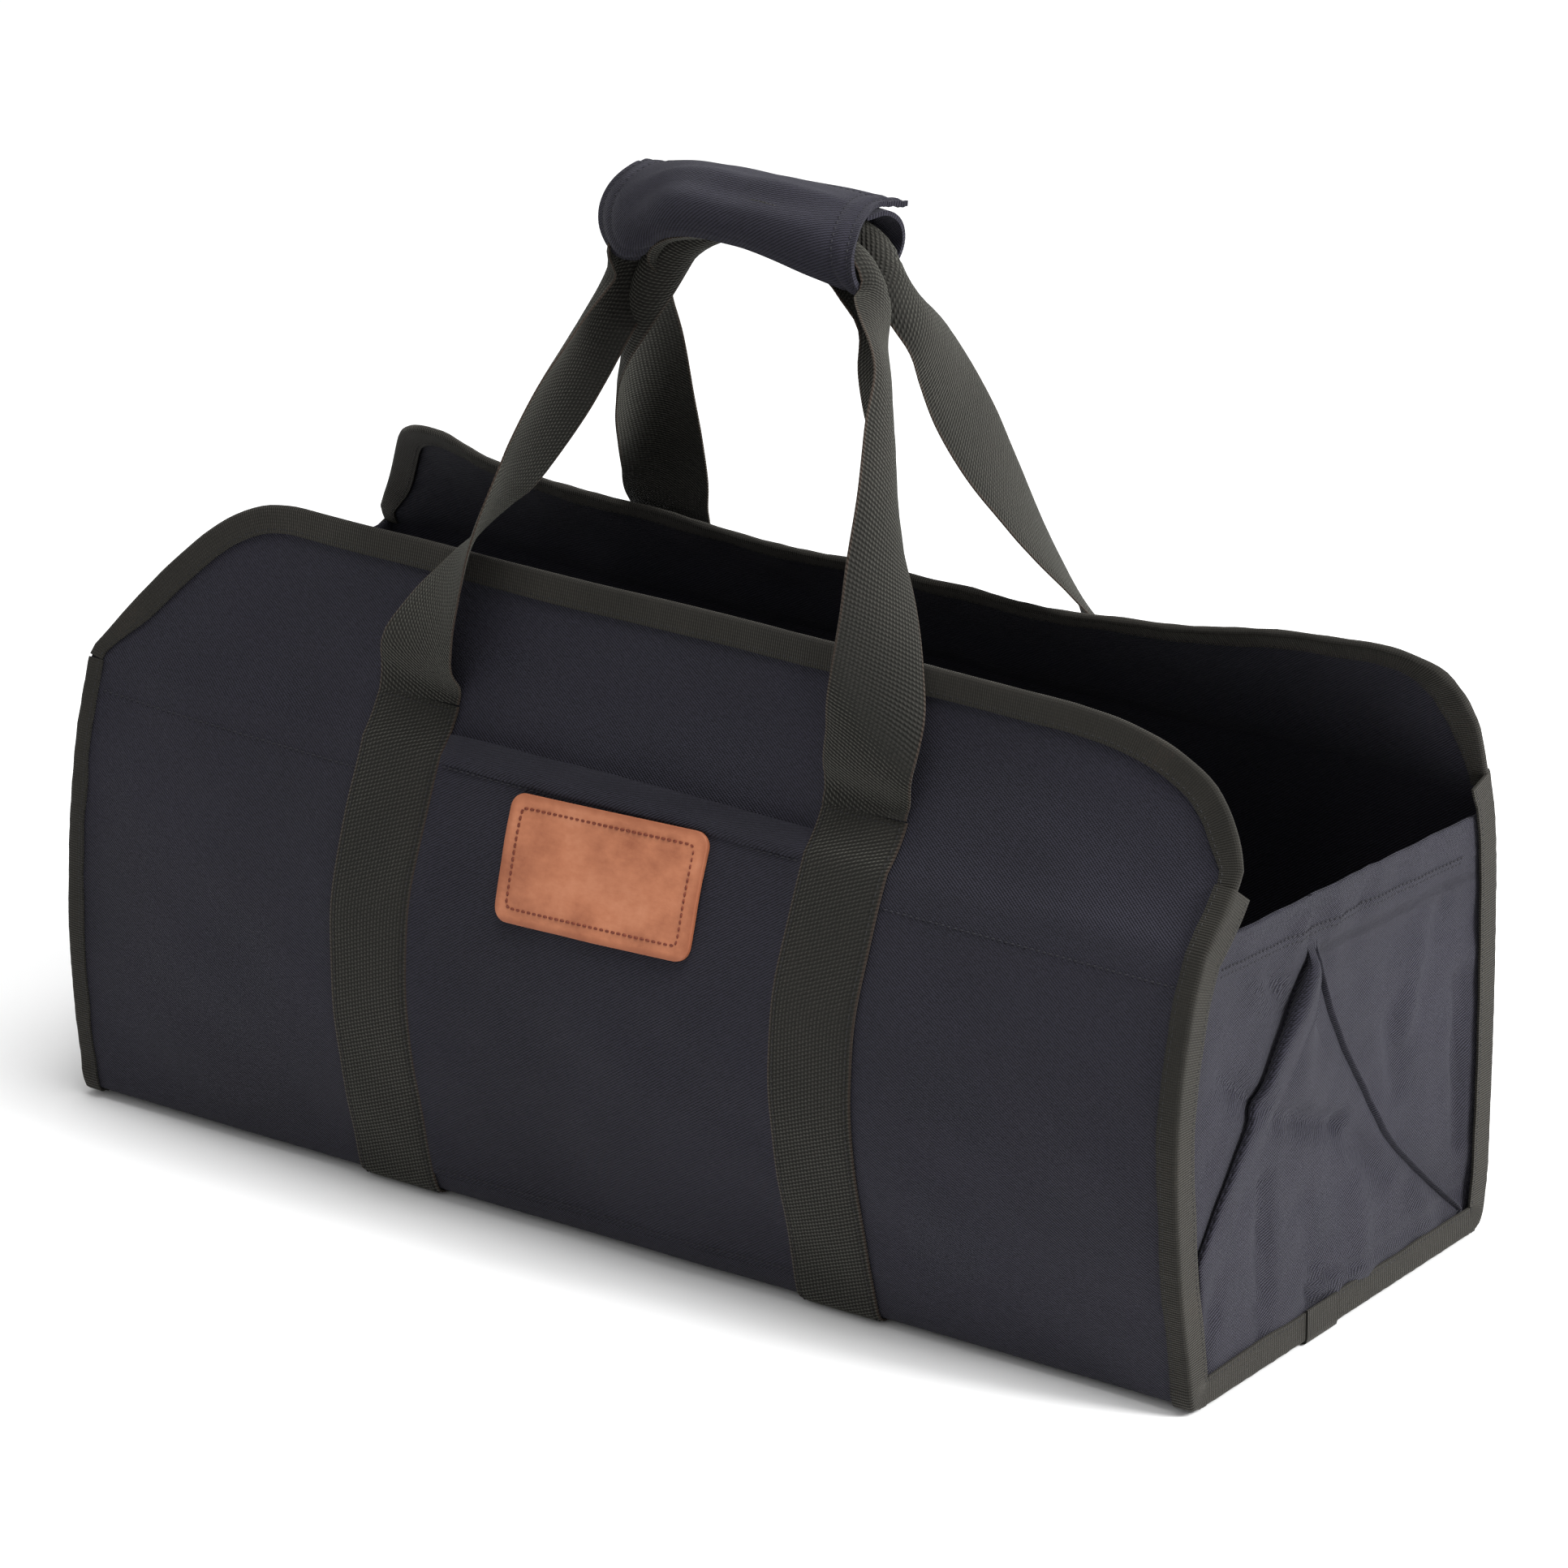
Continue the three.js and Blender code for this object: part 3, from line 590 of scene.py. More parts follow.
# ---------------------------------------------------------------- straps and handles
def web_section(curl, spans=10):
    """Section of webbing rolled through curl radians: across, off, and its UV across."""
    ring = []
    for face in (1, -1):
        for k in range(spans + 1):
            s = face * (0.5 - k / spans)
            near_edge = min(1.0, (0.5 - abs(s)) * WEB_WIDTH / 1.2)
            half = WEB / 2 * math.sqrt(max(0.12, 1 - (1 - near_edge) ** 2))
            ring.append((s, face * half))
    ring = np.array(ring)
    s, off = ring[:, 0], ring[:, 1]
    if curl < 0.01:
        return s * WEB_WIDTH, off, s * WEB_WIDTH
    radius = WEB_WIDTH / curl
    bend = curl * s
    return (radius * np.sin(bend) - off * np.sin(bend),
            radius * (math.cos(curl / 4) - np.cos(bend)) + off * np.cos(bend), s * WEB_WIDTH)


def strap(name, middle, node):
    across, off, uv_across = web_section(0)
    heights = np.concatenate([np.linspace(STRAP_TOP, 1, 12), np.linspace(1, 0, 56)[1:],
                              np.linspace(0, -1, 14)[1:]])
    rings = []
    for side in (FRONT, BACK):
        part = [wall(side, middle + across, h, WEB_GAP + WEB / 2 + off) for h in heights]
        rings += part if side == FRONT else part[::-1][1:]
    band_piece(name, rings, webbing, [node], uv_across)


strap("webbing_strap_left", -STRAP_SPACING / 2, "strap_left")
strap("webbing_strap_right", STRAP_SPACING / 2, "strap_right")

# across (half strap spacings), out (half depths), rise (handle rises above the strap top),
# turn and tip of the webbing's width, curl, all in degrees
HANDLE_ROWS = {
    FRONT: [
        [-0.965, -0.925, 0.1, -10, 3, 0],
        [-0.912, -0.92, 0.171, -22, 7, 0],
        [-0.845, -0.893, 0.25, -36, 13, 0],
        [-0.786, -0.848, 0.33, -50, 21, 5],
        [-0.708, -0.742, 0.436, -69, 30, 15],
        [-0.683, -0.662, 0.488, -80, 34, 30],
        [-0.628, -0.523, 0.599, -90, 38, 60],
        [-0.602, -0.42, 0.668, -89, 42, 90],
        [-0.597, -0.256, 0.745, -86, 50, 130],
        [-0.568, -0.153, 0.814, -86, 64, 185],
        [-0.496, -0.136, 0.889, -90, 85, 225],
        [-0.355, -0.153, 0.95, -90, 86, 250],
        [0, -0.174, 0.987, -90, 88, 255],
        [0.198, -0.174, 0.985, -90, 86, 250],
        [0.34, -0.178, 0.965, -90, 84, 245],
        [0.46, -0.15, 0.93, -84, 82, 235],
        [0.56, -0.16, 0.872, -78, 76, 210],
        [0.66, -0.3, 0.812, -52, 58, 140],
        [0.795, -0.462, 0.755, -47, 44, 98],
        [0.895, -0.592, 0.69, -68, 34, 89],
        [0.985, -0.732, 0.593, -82, 26, 67],
        [1.031, -0.822, 0.492, -96, 20, 52],
        [1.062, -0.871, 0.379, -112, 13, 48],
        [1.071, -0.91, 0.265, -134, 8, 49],
        [1.062, -0.937, 0.171, -165, 4, 22],
        [1.035, -0.93, 0.1, -177, 1, 4],
    ],
    BACK: [
        [-1.017, 0.803, 0.09, -5, 1, 10],
        [-0.945, 0.659, 0.19, 3, 3, 41],
        [-0.886, 0.574, 0.26, 13, 5, 74],
        [-0.819, 0.43, 0.37, 30, 7, 102],
        [-0.757, 0.268, 0.49, 51, 10, 115],
        [-0.695, 0.132, 0.602, 71, 18, 118],
        [-0.632, 0.02, 0.686, 86, 38, 132],
        [-0.52, -0.09, 0.79, 90, 66, 215],
        [-0.36, -0.1, 0.9, 88, 80, 250],
        [-0.099, -0.047, 0.965, 90, 84, 250],
        [0.14, -0.044, 0.983, 90, 88, 250],
        [0.322, -0.044, 0.95, 90, 84, 230],
        [0.492, -0.005, 0.915, 145, 36, 190],
        [0.578, 0.013, 0.855, 148, 37, 150],
        [0.626, 0.07, 0.8, 124, 28, 95],
        [0.65, 0.132, 0.735, 108, 24, 70],
        [0.671, 0.211, 0.639, 101, 23, 35],
        [0.705, 0.321, 0.53, 103, 22, 15],
        [0.739, 0.443, 0.425, 112, 17, 5],
        [0.768, 0.538, 0.344, 119, 13, 0],
        [0.82, 0.66, 0.24, 130, 8, 0],
        [0.899, 0.784, 0.12, 145, 5, 0],
    ],
}
STRAP_TOP_Z = 233.5


def through(points, spacing):
    """A smooth path through points, and which point each of its samples has reached."""
    gaps = np.linalg.norm(np.diff(points, axis=0), axis=1)
    knots = np.concatenate([[0], np.cumsum(np.sqrt(gaps))])
    curve = smooth_table(np.column_stack([knots, points]))
    fine = np.linspace(0, knots[-1], 4000)
    dense = curve(fine)
    length = way_along(dense)
    want = np.linspace(0, length[-1], int(length[-1] / spacing) + 2)
    at = np.interp(want, length, fine)
    return curve(at), np.interp(at, knots, np.arange(len(points)))


def handle(name, side, node):
    rows = np.array(HANDLE_ROWS[side], float)
    lift = WEB_GAP + WEB / 2
    leaving = ((STRAP_TOP, 0.1), (STRAP_TOP + 0.08, 1.6))
    first = [wall(side, -STRAP_SPACING / 2, h, lift + off) for h, off in leaving]
    last = [wall(side, STRAP_SPACING / 2, h, lift + off) for h, off in leaving[::-1]]
    places = np.stack([rows[:, 0] * STRAP_SPACING / 2, rows[:, 1] * HALF_DEPTH,
                       STRAP_TOP_Z + rows[:, 2] * HANDLE_RISE], -1)
    points = np.concatenate([first, places, last])
    turned = -180 if side == FRONT else 180
    angles = np.concatenate([np.zeros((2, 3)), rows[:, 3:], [[turned, 0, 0]] * 2])
    path, share = through(points, 5.0)
    turns = np.radians(smooth_table(np.column_stack([np.arange(len(points)), angles]))(share))
    tangent = unit(np.gradient(path, axis=0))
    turn, tip, curl = turns.T
    across = np.stack([np.cos(tip) * np.cos(turn), np.cos(tip) * np.sin(turn), np.sin(tip)], -1)
    across = unit(across - np.sum(across * tangent, 1, keepdims=True) * tangent)
    facing = -side * np.cross(tangent, across)
    rings = []
    for k in range(len(path)):
        sideways, off, uv_across = web_section(max(0.0, curl[k]))
        rings.append(path[k] + across[k] * sideways[:, None] + facing[k] * off[:, None])
    return band_piece(name, rings, webbing, [node], uv_across)


handle_front = handle("webbing_handle_front", FRONT, "handle_front")
handle_back = handle("webbing_handle_back", BACK, "handle_back")


# ---------------------------------------------------------------- pocket
POCKET_HALF = STRAP_SPACING / 2 - WEB_WIDTH / 2


def pocket_lift(x, height):
    """How far the pocket stands off the wall: it gapes a little at its mouth."""
    gape = step(0.93, POCKET_MOUTH, height) * 3.0 * (1 - (x / POCKET_HALF) ** 2)
    return 0.3 + gape


def front_pocket():
    xs = np.linspace(-POCKET_HALF, POCKET_HALF, 60)
    hs = np.concatenate([np.linspace(POCKET_FOOT, 0.97, 50), np.linspace(0.97, POCKET_MOUTH, 30)[1:]])
    hem = 1.4 * step(0.984, 0.989, hs)
    soft = 0.5 * rolling(xs[:, None], hs[None, :] * WALL_CLOTH, 48, 5) * step(0.2, 0.5, hs)[None, :]
    grid = np.broadcast_arrays(xs[:, None], hs[None, :])
    lift = pocket_lift(*grid) + soft
    edge = step(0, 6, POCKET_HALF - np.abs(xs))[:, None]
    lift = 0.25 + (lift - 0.25) * edge
    outer = wall(FRONT, grid[0], grid[1], lift + 1.2 + hem[None, :] * edge)
    inner = wall(FRONT, grid[0], grid[1], lift)
    return cloth_piece("canvas_pocket", outer, inner, pairs(grid[0], grid[1] * WALL_CLOTH),
                       canvas, ["front_pocket"])


pocket = front_pocket()


# ---------------------------------------------------------------- leather patch
PATCH_WIDTH, PATCH_HEIGHT, PATCH_THICK, PATCH_CORNER = 106.0, 57.0, 2.0, 7.0
PATCH_MIDDLE, PATCH_TILT = 0.86, math.radians(2)
PATCH_BORDER = 6.5


def on_pocket(across, up, lift):
    """A point of the patch: its own place across and up, laid on the pocket."""
    x = across * math.cos(PATCH_TILT) - up * math.sin(PATCH_TILT)
    cloth = across * math.sin(PATCH_TILT) + up * math.cos(PATCH_TILT)
    height = PATCH_MIDDLE + cloth / WALL_CLOTH
    return wall(FRONT, x, height, pocket_lift(x, height) + 2.3 + lift)


def mode(name):
    bpy.ops.object.mode_set(mode=name)


def pick(how):
    bpy.ops.mesh.select_all(action=how)


def leather_patch():
    bpy.ops.object.select_all(action="DESELECT")
    bpy.ops.mesh.primitive_cube_add(size=1, location=(0, 0, 0))
    obj = bpy.context.active_object
    obj.name = "leather_patch_plate"
    obj.data.name = obj.name
    bpy.ops.transform.resize(value=(PATCH_WIDTH, PATCH_HEIGHT, PATCH_THICK))
    bpy.ops.object.transform_apply(location=True, rotation=True, scale=True)
    mode("EDIT")
    bpy.ops.mesh.select_mode(type="EDGE")
    pick("DESELECT")
    mode("OBJECT")
    for edge in obj.data.edges:
        a, b = (obj.data.vertices[k].co for k in edge.vertices)
        edge.select = abs(a.x - b.x) < 1 and abs(a.y - b.y) < 1
    mode("EDIT")
    bpy.ops.mesh.bevel(offset=PATCH_CORNER, segments=8, affect="EDGES")
    bpy.ops.mesh.select_mode(type="FACE")
    pick("DESELECT")
    mode("OBJECT")
    for face in obj.data.polygons:
        face.select = face.normal.z > 0.9
    mode("EDIT")
    bpy.ops.mesh.bevel(offset=0.7, segments=3, affect="EDGES")
    pick("SELECT")
    bpy.ops.mesh.normals_make_consistent(inside=False)
    # cut into strips both ways, so that the plate can bend with the cloth
    for normal, reach, count in (((1, 0, 0), PATCH_WIDTH, 30), ((0, 1, 0), PATCH_HEIGHT, 18)):
        for k in range(1, count):
            pick("SELECT")
            at = (k / count - 0.5) * reach
            bpy.ops.mesh.bisect(plane_co=tuple(at * n for n in normal), plane_no=normal)
    mode("OBJECT")
    mesh = obj.data
    co = np.zeros(len(mesh.vertices) * 3)
    mesh.vertices.foreach_get("co", co)
    co = co.reshape(-1, 3)
    to_rim = np.minimum(PATCH_WIDTH / 2 - np.abs(co[:, 0]), PATCH_HEIGHT / 2 - np.abs(co[:, 1]))
    rim = mesh.attributes.new("rim", "FLOAT", "POINT")
    rim.data.foreach_set("value", (1 - step(0.3, 3.0, to_rim)).astype(np.float32))
    groove = 0.25 * np.exp(-((to_rim - PATCH_BORDER) / 1.2) ** 2)
    soft = 0.25 * rolling(co[:, 0], co[:, 1], 30, 77)
    lift = co[:, 2] + PATCH_THICK / 2 + np.where(co[:, 2] > 0, soft - groove, 0)
    mesh.vertices.foreach_set("co", (on_pocket(co[:, 0], co[:, 1], lift) * 0.001).ravel())
    lay_flat(mesh, mesh.uv_layers.active, co[:, :2])
    mesh.update()
    bpy.ops.object.shade_smooth_by_angle(angle=math.radians(50))
    obj.select_set(False)
    mesh.materials.clear()
    mesh.materials.append(leather)
    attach(obj, "root")
    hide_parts("leather_patch")


leather_patch()


def patch_border():
    """The rounded line that the patch's stitches follow, and the way out of the leather."""
    w, h, r = PATCH_WIDTH / 2 - PATCH_BORDER, PATCH_HEIGHT / 2 - PATCH_BORDER, 1.5
    flat = []
    for cx, cy, a in ((w - r, h - r, 0), (-w + r, h - r, 90), (-w + r, -h + r, 180), (w - r, -h + r, 270)):
        for k in range(5):
            t = math.radians(a + k * 22.5)
            flat.append((cx + r * math.cos(t), cy + r * math.sin(t)))
    flat.append(flat[0])
    flat = resample(np.array(flat), 1.0)
    low = on_pocket(flat[:, 0], flat[:, 1], PATCH_THICK - 0.1)
    return low, unit(on_pocket(flat[:, 0], flat[:, 1], PATCH_THICK + 0.9) - low)


patch_stitches = Stitches()
patch_stitches.line(*patch_border(), pitch=3.1, length=2.6, radius=0.6)
patch_stitches.piece("patch_stitching", brown_thread, "leather")


# ---------------------------------------------------------------- end gussets
APEX = (-26.0, 181.0)
# height, then y of the fold
FRONT_FOLD = smooth_table([[0, -139], [20, -135], [58, -124], [90, -102], [123, -76], [150, -54],
                           [168, -40], [181, -29]])
BACK_FOLD = smooth_table([[0, 116], [10, 107], [18, 98], [46, 66], [74, 37], [103, 17], [132, -2],
                          [160, -17], [181, -25]])
# across the front fold, where the middle stands out over the cloth that runs in under it:
# y from the line, and how far out as a share of the step
FRONT_LAP = [(-16, -0.05), (-10, -0.12), (-5, -0.22), (-2, -0.3), (0.6, -0.36), (2.4, -0.36),
             (3.2, -0.26), (2.2, -0.1), (-0.8, 0.08), (-2.9, 0.26), (-3.4, 0.42), (-2.8, 0.56),
             (-1, 0.64), (3, 0.66), (9, 0.62), (16, 0.52)]
# height, then the step in millimetres
FRONT_STEP = smooth_table([[0, 2.0], [20, 2.6], [60, 4.0], [110, 5.6], [150, 8.5], [170, 10.5],
                           [178, 8.0], [183, 2.5], [186, 0]])
BACK_RIDGE = [(-14, 1.2), (-7, 0.9), (-3, 0.3), (-1.4, -0.4), (-0.8, 0.6), (-0.2, 1.9), (0.5, 2.2),
              (1.2, 1.2), (2, -0.6), (4, -1.5), (9, -1.9), (15, -1.8)]
# soft creases: from (y, z) to (y, z), width, depth
GUSSET_CREASES = [
    ((-58, 118), (-6, 96), 9, -3.2), ((-6, 96), (34, 58), 11, -2.6), ((-70, 92), (-66, 20), 8, -2.6),
    ((-36, 70), (-22, 14), 10, -1.8), ((-14, 30), (-11, 6), 4, -2.6), ((-20, 26), (-18, 6), 4, 2.4),
    ((-27, 34), (-25, 6), 5, -2.0), ((-4, 24), (-3, 6), 4, 1.6), ((4, 30), (5, 8), 5, -1.4),
    ((-98, 150), (-72, 128), 9, -2.4), ((-80, 190), (-62, 168), 6, 1.4), ((-62, 188), (-48, 166), 5, -1.6),
    ((98, 130), (100, 50), 9, -3.0), ((40, 130), (48, 92), 12, -2.0), ((66, 170), (52, 118), 7, 1.5),
    ((84, 178), (78, 160), 8, -1.2), ((-104, 60), (-112, 20), 7, -1.4), ((10, 60), (16, 16), 12, 1.6),
    ((60, 40), (76, 14), 9, 1.2), ((-6, 206), (-14, 186), 5, 1.0), ((20, 208), (10, 190), 5, -1.2),
    ((-34, 204), (-44, 190), 5, 1.0),
]


def crease_depth(y, z):
    total = np.zeros(np.broadcast(y, z).shape)
    for (y0, z0), (y1, z1), width, depth in GUSSET_CREASES:
        dy, dz = y1 - y0, z1 - z0
        t = np.clip(((y - y0) * dy + (z - z0) * dz) / (dy * dy + dz * dz), 0, 1)
        gap2 = (y - y0 - t * dy) ** 2 + (z - z0 - t * dz) ** 2
        fading = 0.45 + 0.55 * np.sin(math.pi * np.clip(t, 0.12, 0.88))
        total += depth * np.exp(-gap2 / (0.62 * width) ** 2) * fading
    return total


def gusset_edges(end, height, tilt):
    f = wall(FRONT, end * (HALF_LENGTH - 0.5), height + tilt, -CANVAS - 0.3)
    b = wall(BACK, end * (HALF_LENGTH - 0.5), height - tilt, -CANVAS - 0.3)
    return f, b


GUSSET_TILT = {1: 0.055, -1: 0.0}
HEM = 22.0


def gusset_grid(end, lift, heights):
    """Rows of the gusset's cloth from front to back. Its columns follow the two folds."""
    rows = []
    for h in heights:
        tilt = GUSSET_TILT[end] * step(0.55, 1, h)
        f, b = gusset_edges(end, h, tilt)
        z_mid = (f[2] + b[2]) / 2
        fold_f = max(float(FRONT_FOLD(min(z_mid, APEX[1]))[0]), f[1] + 17.5)
        fold_b = min(float(BACK_FOLD(min(z_mid, APEX[1]))[0]), b[1] - 16.5)
        fade = 1 - float(step(APEX[1] - 2, APEX[1] + 6, z_mid))
        low = float(step(4, 22, z_mid))
        rise = float(FRONT_STEP(min(z_mid, 186))[0])
        close = min(1.0, max(0.02, (fold_b - fold_f) / 34))
        lap_y = [fold_f + dy * (close if dy > 0 else 1) for dy, _ in FRONT_LAP]
        lap_d = [d * rise * low for _, d in FRONT_LAP]
        ridge_y = [fold_b + dy * (close if dy < 0 else 1) for dy, _ in BACK_RIDGE]
        ridge_d = [d * fade * low for _, d in BACK_RIDGE]
        front_y = np.linspace(f[1], lap_y[0], 14)[:-1]
        mid_y = np.linspace(lap_y[-1], ridge_y[0], 22)[1:-1]
        back_y = np.linspace(ridge_y[-1], b[1], 18)[1:]
        front_d = lap_d[0] * step(0, 1, (front_y - f[1]) / max(1, lap_y[0] - f[1]))
        t = np.linspace(0, 1, 22)[1:-1]
        mid_d = lap_d[-1] * (1 - t) + ridge_d[0] * t + 1.6 * np.sin(math.pi * t) * fade * low
        back_d = ridge_d[-1] * (1 - step(0, 1, (back_y - ridge_y[-1]) / max(1, b[1] - ridge_y[-1])))
        y = np.concatenate([front_y, lap_y, mid_y, ridge_y, back_y])
        d = np.concatenate([front_d, lap_d, mid_d, ridge_d, back_d])
        z = np.interp(y, [f[1], b[1]], [f[2], b[2]])
        edge = step(0, 14, y - f[1]) * step(0, 14, b[1] - y) * step(2, 14, z)
        d = d * edge + 1.7 * crease_depth(y, z) * edge + 0.4 * rolling(y, z, 26, 31) * edge
        # the seam holds the cloth at the panel's end, and the rest sits a little inwards
        d = d - 1.2 * step(0, 10, y - f[1]) * step(0, 10, b[1] - y)
        rows.append(np.stack([end * (HALF_LENGTH - 0.2 + d + lift), y, z], -1))
    return np.array(rows).transpose(1, 0, 2)


def end_gusset(name, end, node):
    hem_share = 1 - HEM / GUSSET_HEIGHT
    heights = np.concatenate([np.linspace(0.0, hem_share - 0.004, 64), np.linspace(hem_share, 1, 16)])
    hem = step(hem_share - 0.004, hem_share, heights)
    hem[-1] = 0.3
    outer = gusset_grid(end, 0.0, heights)
    inner = gusset_grid(end, -1.2, heights)
    outer[:, :, 0] += end * 0.35 * hem[None, :]
    inner[:, :, 0] -= end * 0.9 * hem[None, :]
    uv = pairs(way_along(outer), outer[:, :, 2])
    piece = cloth_piece(name, outer, inner, uv, canvas, [node], smooth=70)
    return end, outer, heights


gussets = [end_gusset("canvas_gusset_right", 1, "end_gusset_right"),
           end_gusset("canvas_gusset_left", -1, "end_gusset_left")]


# ---------------------------------------------------------------- tapes
def tape_section(line, thick):
    """A closed section round an open line of (inwards, lift) points."""
    line = np.array(line, float)
    tangent = unit(np.gradient(line, axis=0))
    normal = np.stack([-tangent[:, 1], tangent[:, 0]], -1)
    return np.concatenate([line + normal * thick / 2, (line - normal * thick / 2)[::-1]])


def seam_line(on_panel, on_gusset, off=0.95, radius=2.4):
    """The seam tape's middle line: in along the panel, round the end and down the gusset."""
    line = [(on_panel - (on_panel - radius * 0.4) * t, off) for t in np.linspace(0, 1, 5)[:-1]]
    for a in np.linspace(90, 180, 7):
        t = math.radians(a)
        reach = radius * 0.4 + off
        line.append((radius * 0.4 + reach * math.cos(t), -radius * 0.4 + reach * math.sin(t)))
    line += [(-off, -radius * 0.4 - (on_gusset - radius * 0.4) * t) for t in np.linspace(0, 1, 8)[1:]]
    return line


def seam_path(end):
    which = (end + 1) // 2
    over = {FRONT: [0.0, 0.78], BACK: [0.0, 0.3]}
    path = []
    for side in (FRONT, BACK):
        reach = float(flap_reach(side, end * HALF_LENGTH))
        top = 1 + over[side][which] * reach
        heights = np.concatenate([np.linspace(top, 1, 8), np.linspace(1, 0.03, 76)[1:],
                                  np.linspace(0.03, -0.04, 15)[1:], np.linspace(-0.04, -1, 32)[1:]])
        part = [(side, h) for h in heights]
        path += part if side == FRONT else part[::-1][1:]
    return path


def into_corner(side, end, h, leg):
    """From the wall's end edge to the inner edge of the tape on the gusset, in y and z."""
    x = end * HALF_LENGTH
    edge = wall(side, x, h)
    plain = wall(side, x, h, -leg) - edge
    heights = np.linspace(0, 0.3, 61)
    low = wall(side, x, heights)
    corner = np.array([x, 0.0, PANEL_FLOOR + leg])
    corner[1] = side * (np.interp(corner[2], low[:, 2], side * low[:, 1]) - leg)
    if h < 0:
        square = np.array([0.0, side * min(side * edge[1], side * corner[1]) - edge[1], leg])
    else:
        square = np.array([0.0, -side * leg, 0.0]) if edge[2] > corner[2] else corner - edge
        square[0] = 0
    share = float(step(0.12, 0.3, h)) if h > 0 else float(step(0.3, 0.45, -h))
    return square * (1 - share) + plain * share


def seam_tape(name, end, node):
    path = seam_path(end)
    rings = []
    line_panel, line_gusset = [], []
    joint = []
    for k, (side, h) in enumerate(path):
        wander = 0.35 * float(rolling(np.array(k * 7.0), 0.0, 60, 41 + end))
        leg = 13.2 - wander
        towards = into_corner(side, end, h, leg)
        section = tape_section(seam_line(8.2 + wander, leg), 1.1)
        pucker = 0.16 * float(rolling(np.array(k * 7.0), 1.0, 14, 43 + end))
        x = end * (HALF_LENGTH - section[:, 0])
        over = 1.3 * float(step(1.0, 1.1, h)) * np.clip((section[:, 1] + 1) / 1.5, 0, 1)
        ring = wall(side, x, np.full(len(x), h), section[:, 1] + pucker + over)
        edge = wall(side, end * HALF_LENGTH, h)
        share = np.clip(-section[:, 1] / leg, 0, 1)[:, None]
        turned = edge + share * towards
        ring[:, 1:] = np.where(share > 0, turned[:, 1:], ring[:, 1:])
        rings.append(ring)
        line_panel.append(wall(side, end * (HALF_LENGTH - 6.3 - wander), h,
                               1.45 + pucker + 1.3 * float(step(1.0, 1.1, h))))
        line_gusset.append(edge + (1 - 1.9 / leg) * towards + [end * 1.5, 0, 0])
        if side == FRONT and -0.94 < h < -0.7:
            line = seam_line(9.0, 14.2 + wander)
            lapped = tape_section([(a - 1.0 * (a < 0.6), b + 1.0 * (b > 0)) for a, b in line], 0.9)
            joint.append(wall(side, end * (HALF_LENGTH - lapped[:, 0]), h, lapped[:, 1]))
    band_piece(name + "_joint", joint, tape)
    band_piece(name, rings, tape, [node])
    panel_normals = np.array([wall_normal(side, end * HALF_LENGTH, h) for side, h in path])
    gusset_normals = np.tile([end, 0.0, 0.0], (len(path), 1))
    return (np.array(line_panel), panel_normals), (np.array(line_gusset), gusset_normals)


tape_stitches = Stitches()
for name, end, node in (("seam_tape_right", 1, "seam_binding_right"),
                        ("seam_tape_left", -1, "seam_binding_left")):
    on_panel, on_gusset = seam_tape(name, end, node)
    tape_stitches.line(*on_panel)
    tape_stitches.line(*on_gusset)


def flap_edge(side):
    """The flap's free edge as (x, cloth from the gusset top), from the left end to the right."""
    x = panel_stations()
    edge = np.stack([x, flap_reach(side, x) * FLAP_CLOTH], -1)
    starts = {FRONT: (1.0, 0.5), BACK: (0.0, 0.1)}[side]
    left = np.array([[-HALF_LENGTH, starts[0]]])
    right = np.array([[HALF_LENGTH, starts[1] * edge[-1, 1]]])
    return resample(np.concatenate([left, edge, right]), 5.0)


def flap_tape(name, side, node):
    edge = flap_edge(side)
    # ease the turns, so that the tape's inner side doesn't cross itself
    tangent = np.gradient(edge, axis=0)
    for _ in range(6):
        tangent[1:-1] = (tangent[:-2] + 2 * tangent[1:-1] + tangent[2:]) / 4
    tangent = unit(tangent)
    line = [(FLAP_TAPE * (1 - t) + 0.8 * t, 0.9) for t in np.linspace(0, 1, 6)[:-1]]
    middle = -CANVAS / 2
    radius = 0.9 + CANVAS / 2
    for a in np.linspace(90, 270, 9):
        t = math.radians(a)
        line.append((0.8 + radius * math.cos(t) * 1.1, middle + radius * math.sin(t)))
    line += [(0.8 + (FLAP_TAPE - 0.8) * t, -CANVAS - 0.9) for t in np.linspace(0, 1, 6)[1:]]
    section = tape_section(line, 1.1)

    def place(k, inwards, lift):
        x = edge[k, 0] + tangent[k, 1] * inwards
        cloth = edge[k, 1] - tangent[k, 0] * inwards
        return wall(side, x, 1 + cloth / FLAP_CLOTH, lift)

    rings, outside, inside, normals = [], [], [], []
    travel = np.arange(len(edge)) * 5.0
    narrow = 0.6 + 0.4 * step(6, 40, np.minimum(travel, travel[-1] - travel))
    for k in range(len(edge)):
        pucker = 0.15 * float(rolling(np.array(k * 5.0), 2.0, 17, 51 + side))
        inwards = section[:, 0] * np.where(section[:, 0] > 0, narrow[k], 1)
        rings.append(place(k, inwards, section[:, 1] + np.where(section[:, 1] > 0, pucker, -pucker)))
        outside.append(place(k, np.array((FLAP_TAPE - 2.0) * narrow[k]), 1.42 + pucker))
        inside.append(place(k, np.array((FLAP_TAPE - 2.0) * narrow[k]), -CANVAS - 1.42 - pucker))
        normals.append(wall_normal(side, edge[k, 0], 1 + edge[k, 1] / FLAP_CLOTH))
    band_piece(name, rings, tape, [node])
    normals = np.array(normals)
    tape_stitches.line(np.array(outside), normals)
    tape_stitches.line(np.array(inside), -normals)


flap_tape("flap_tape_front", FRONT, "flap_binding_front")
flap_tape("flap_tape_back", BACK, "flap_binding_back")
tape_stitches.piece("tape_stitching", dark_thread, "tape")


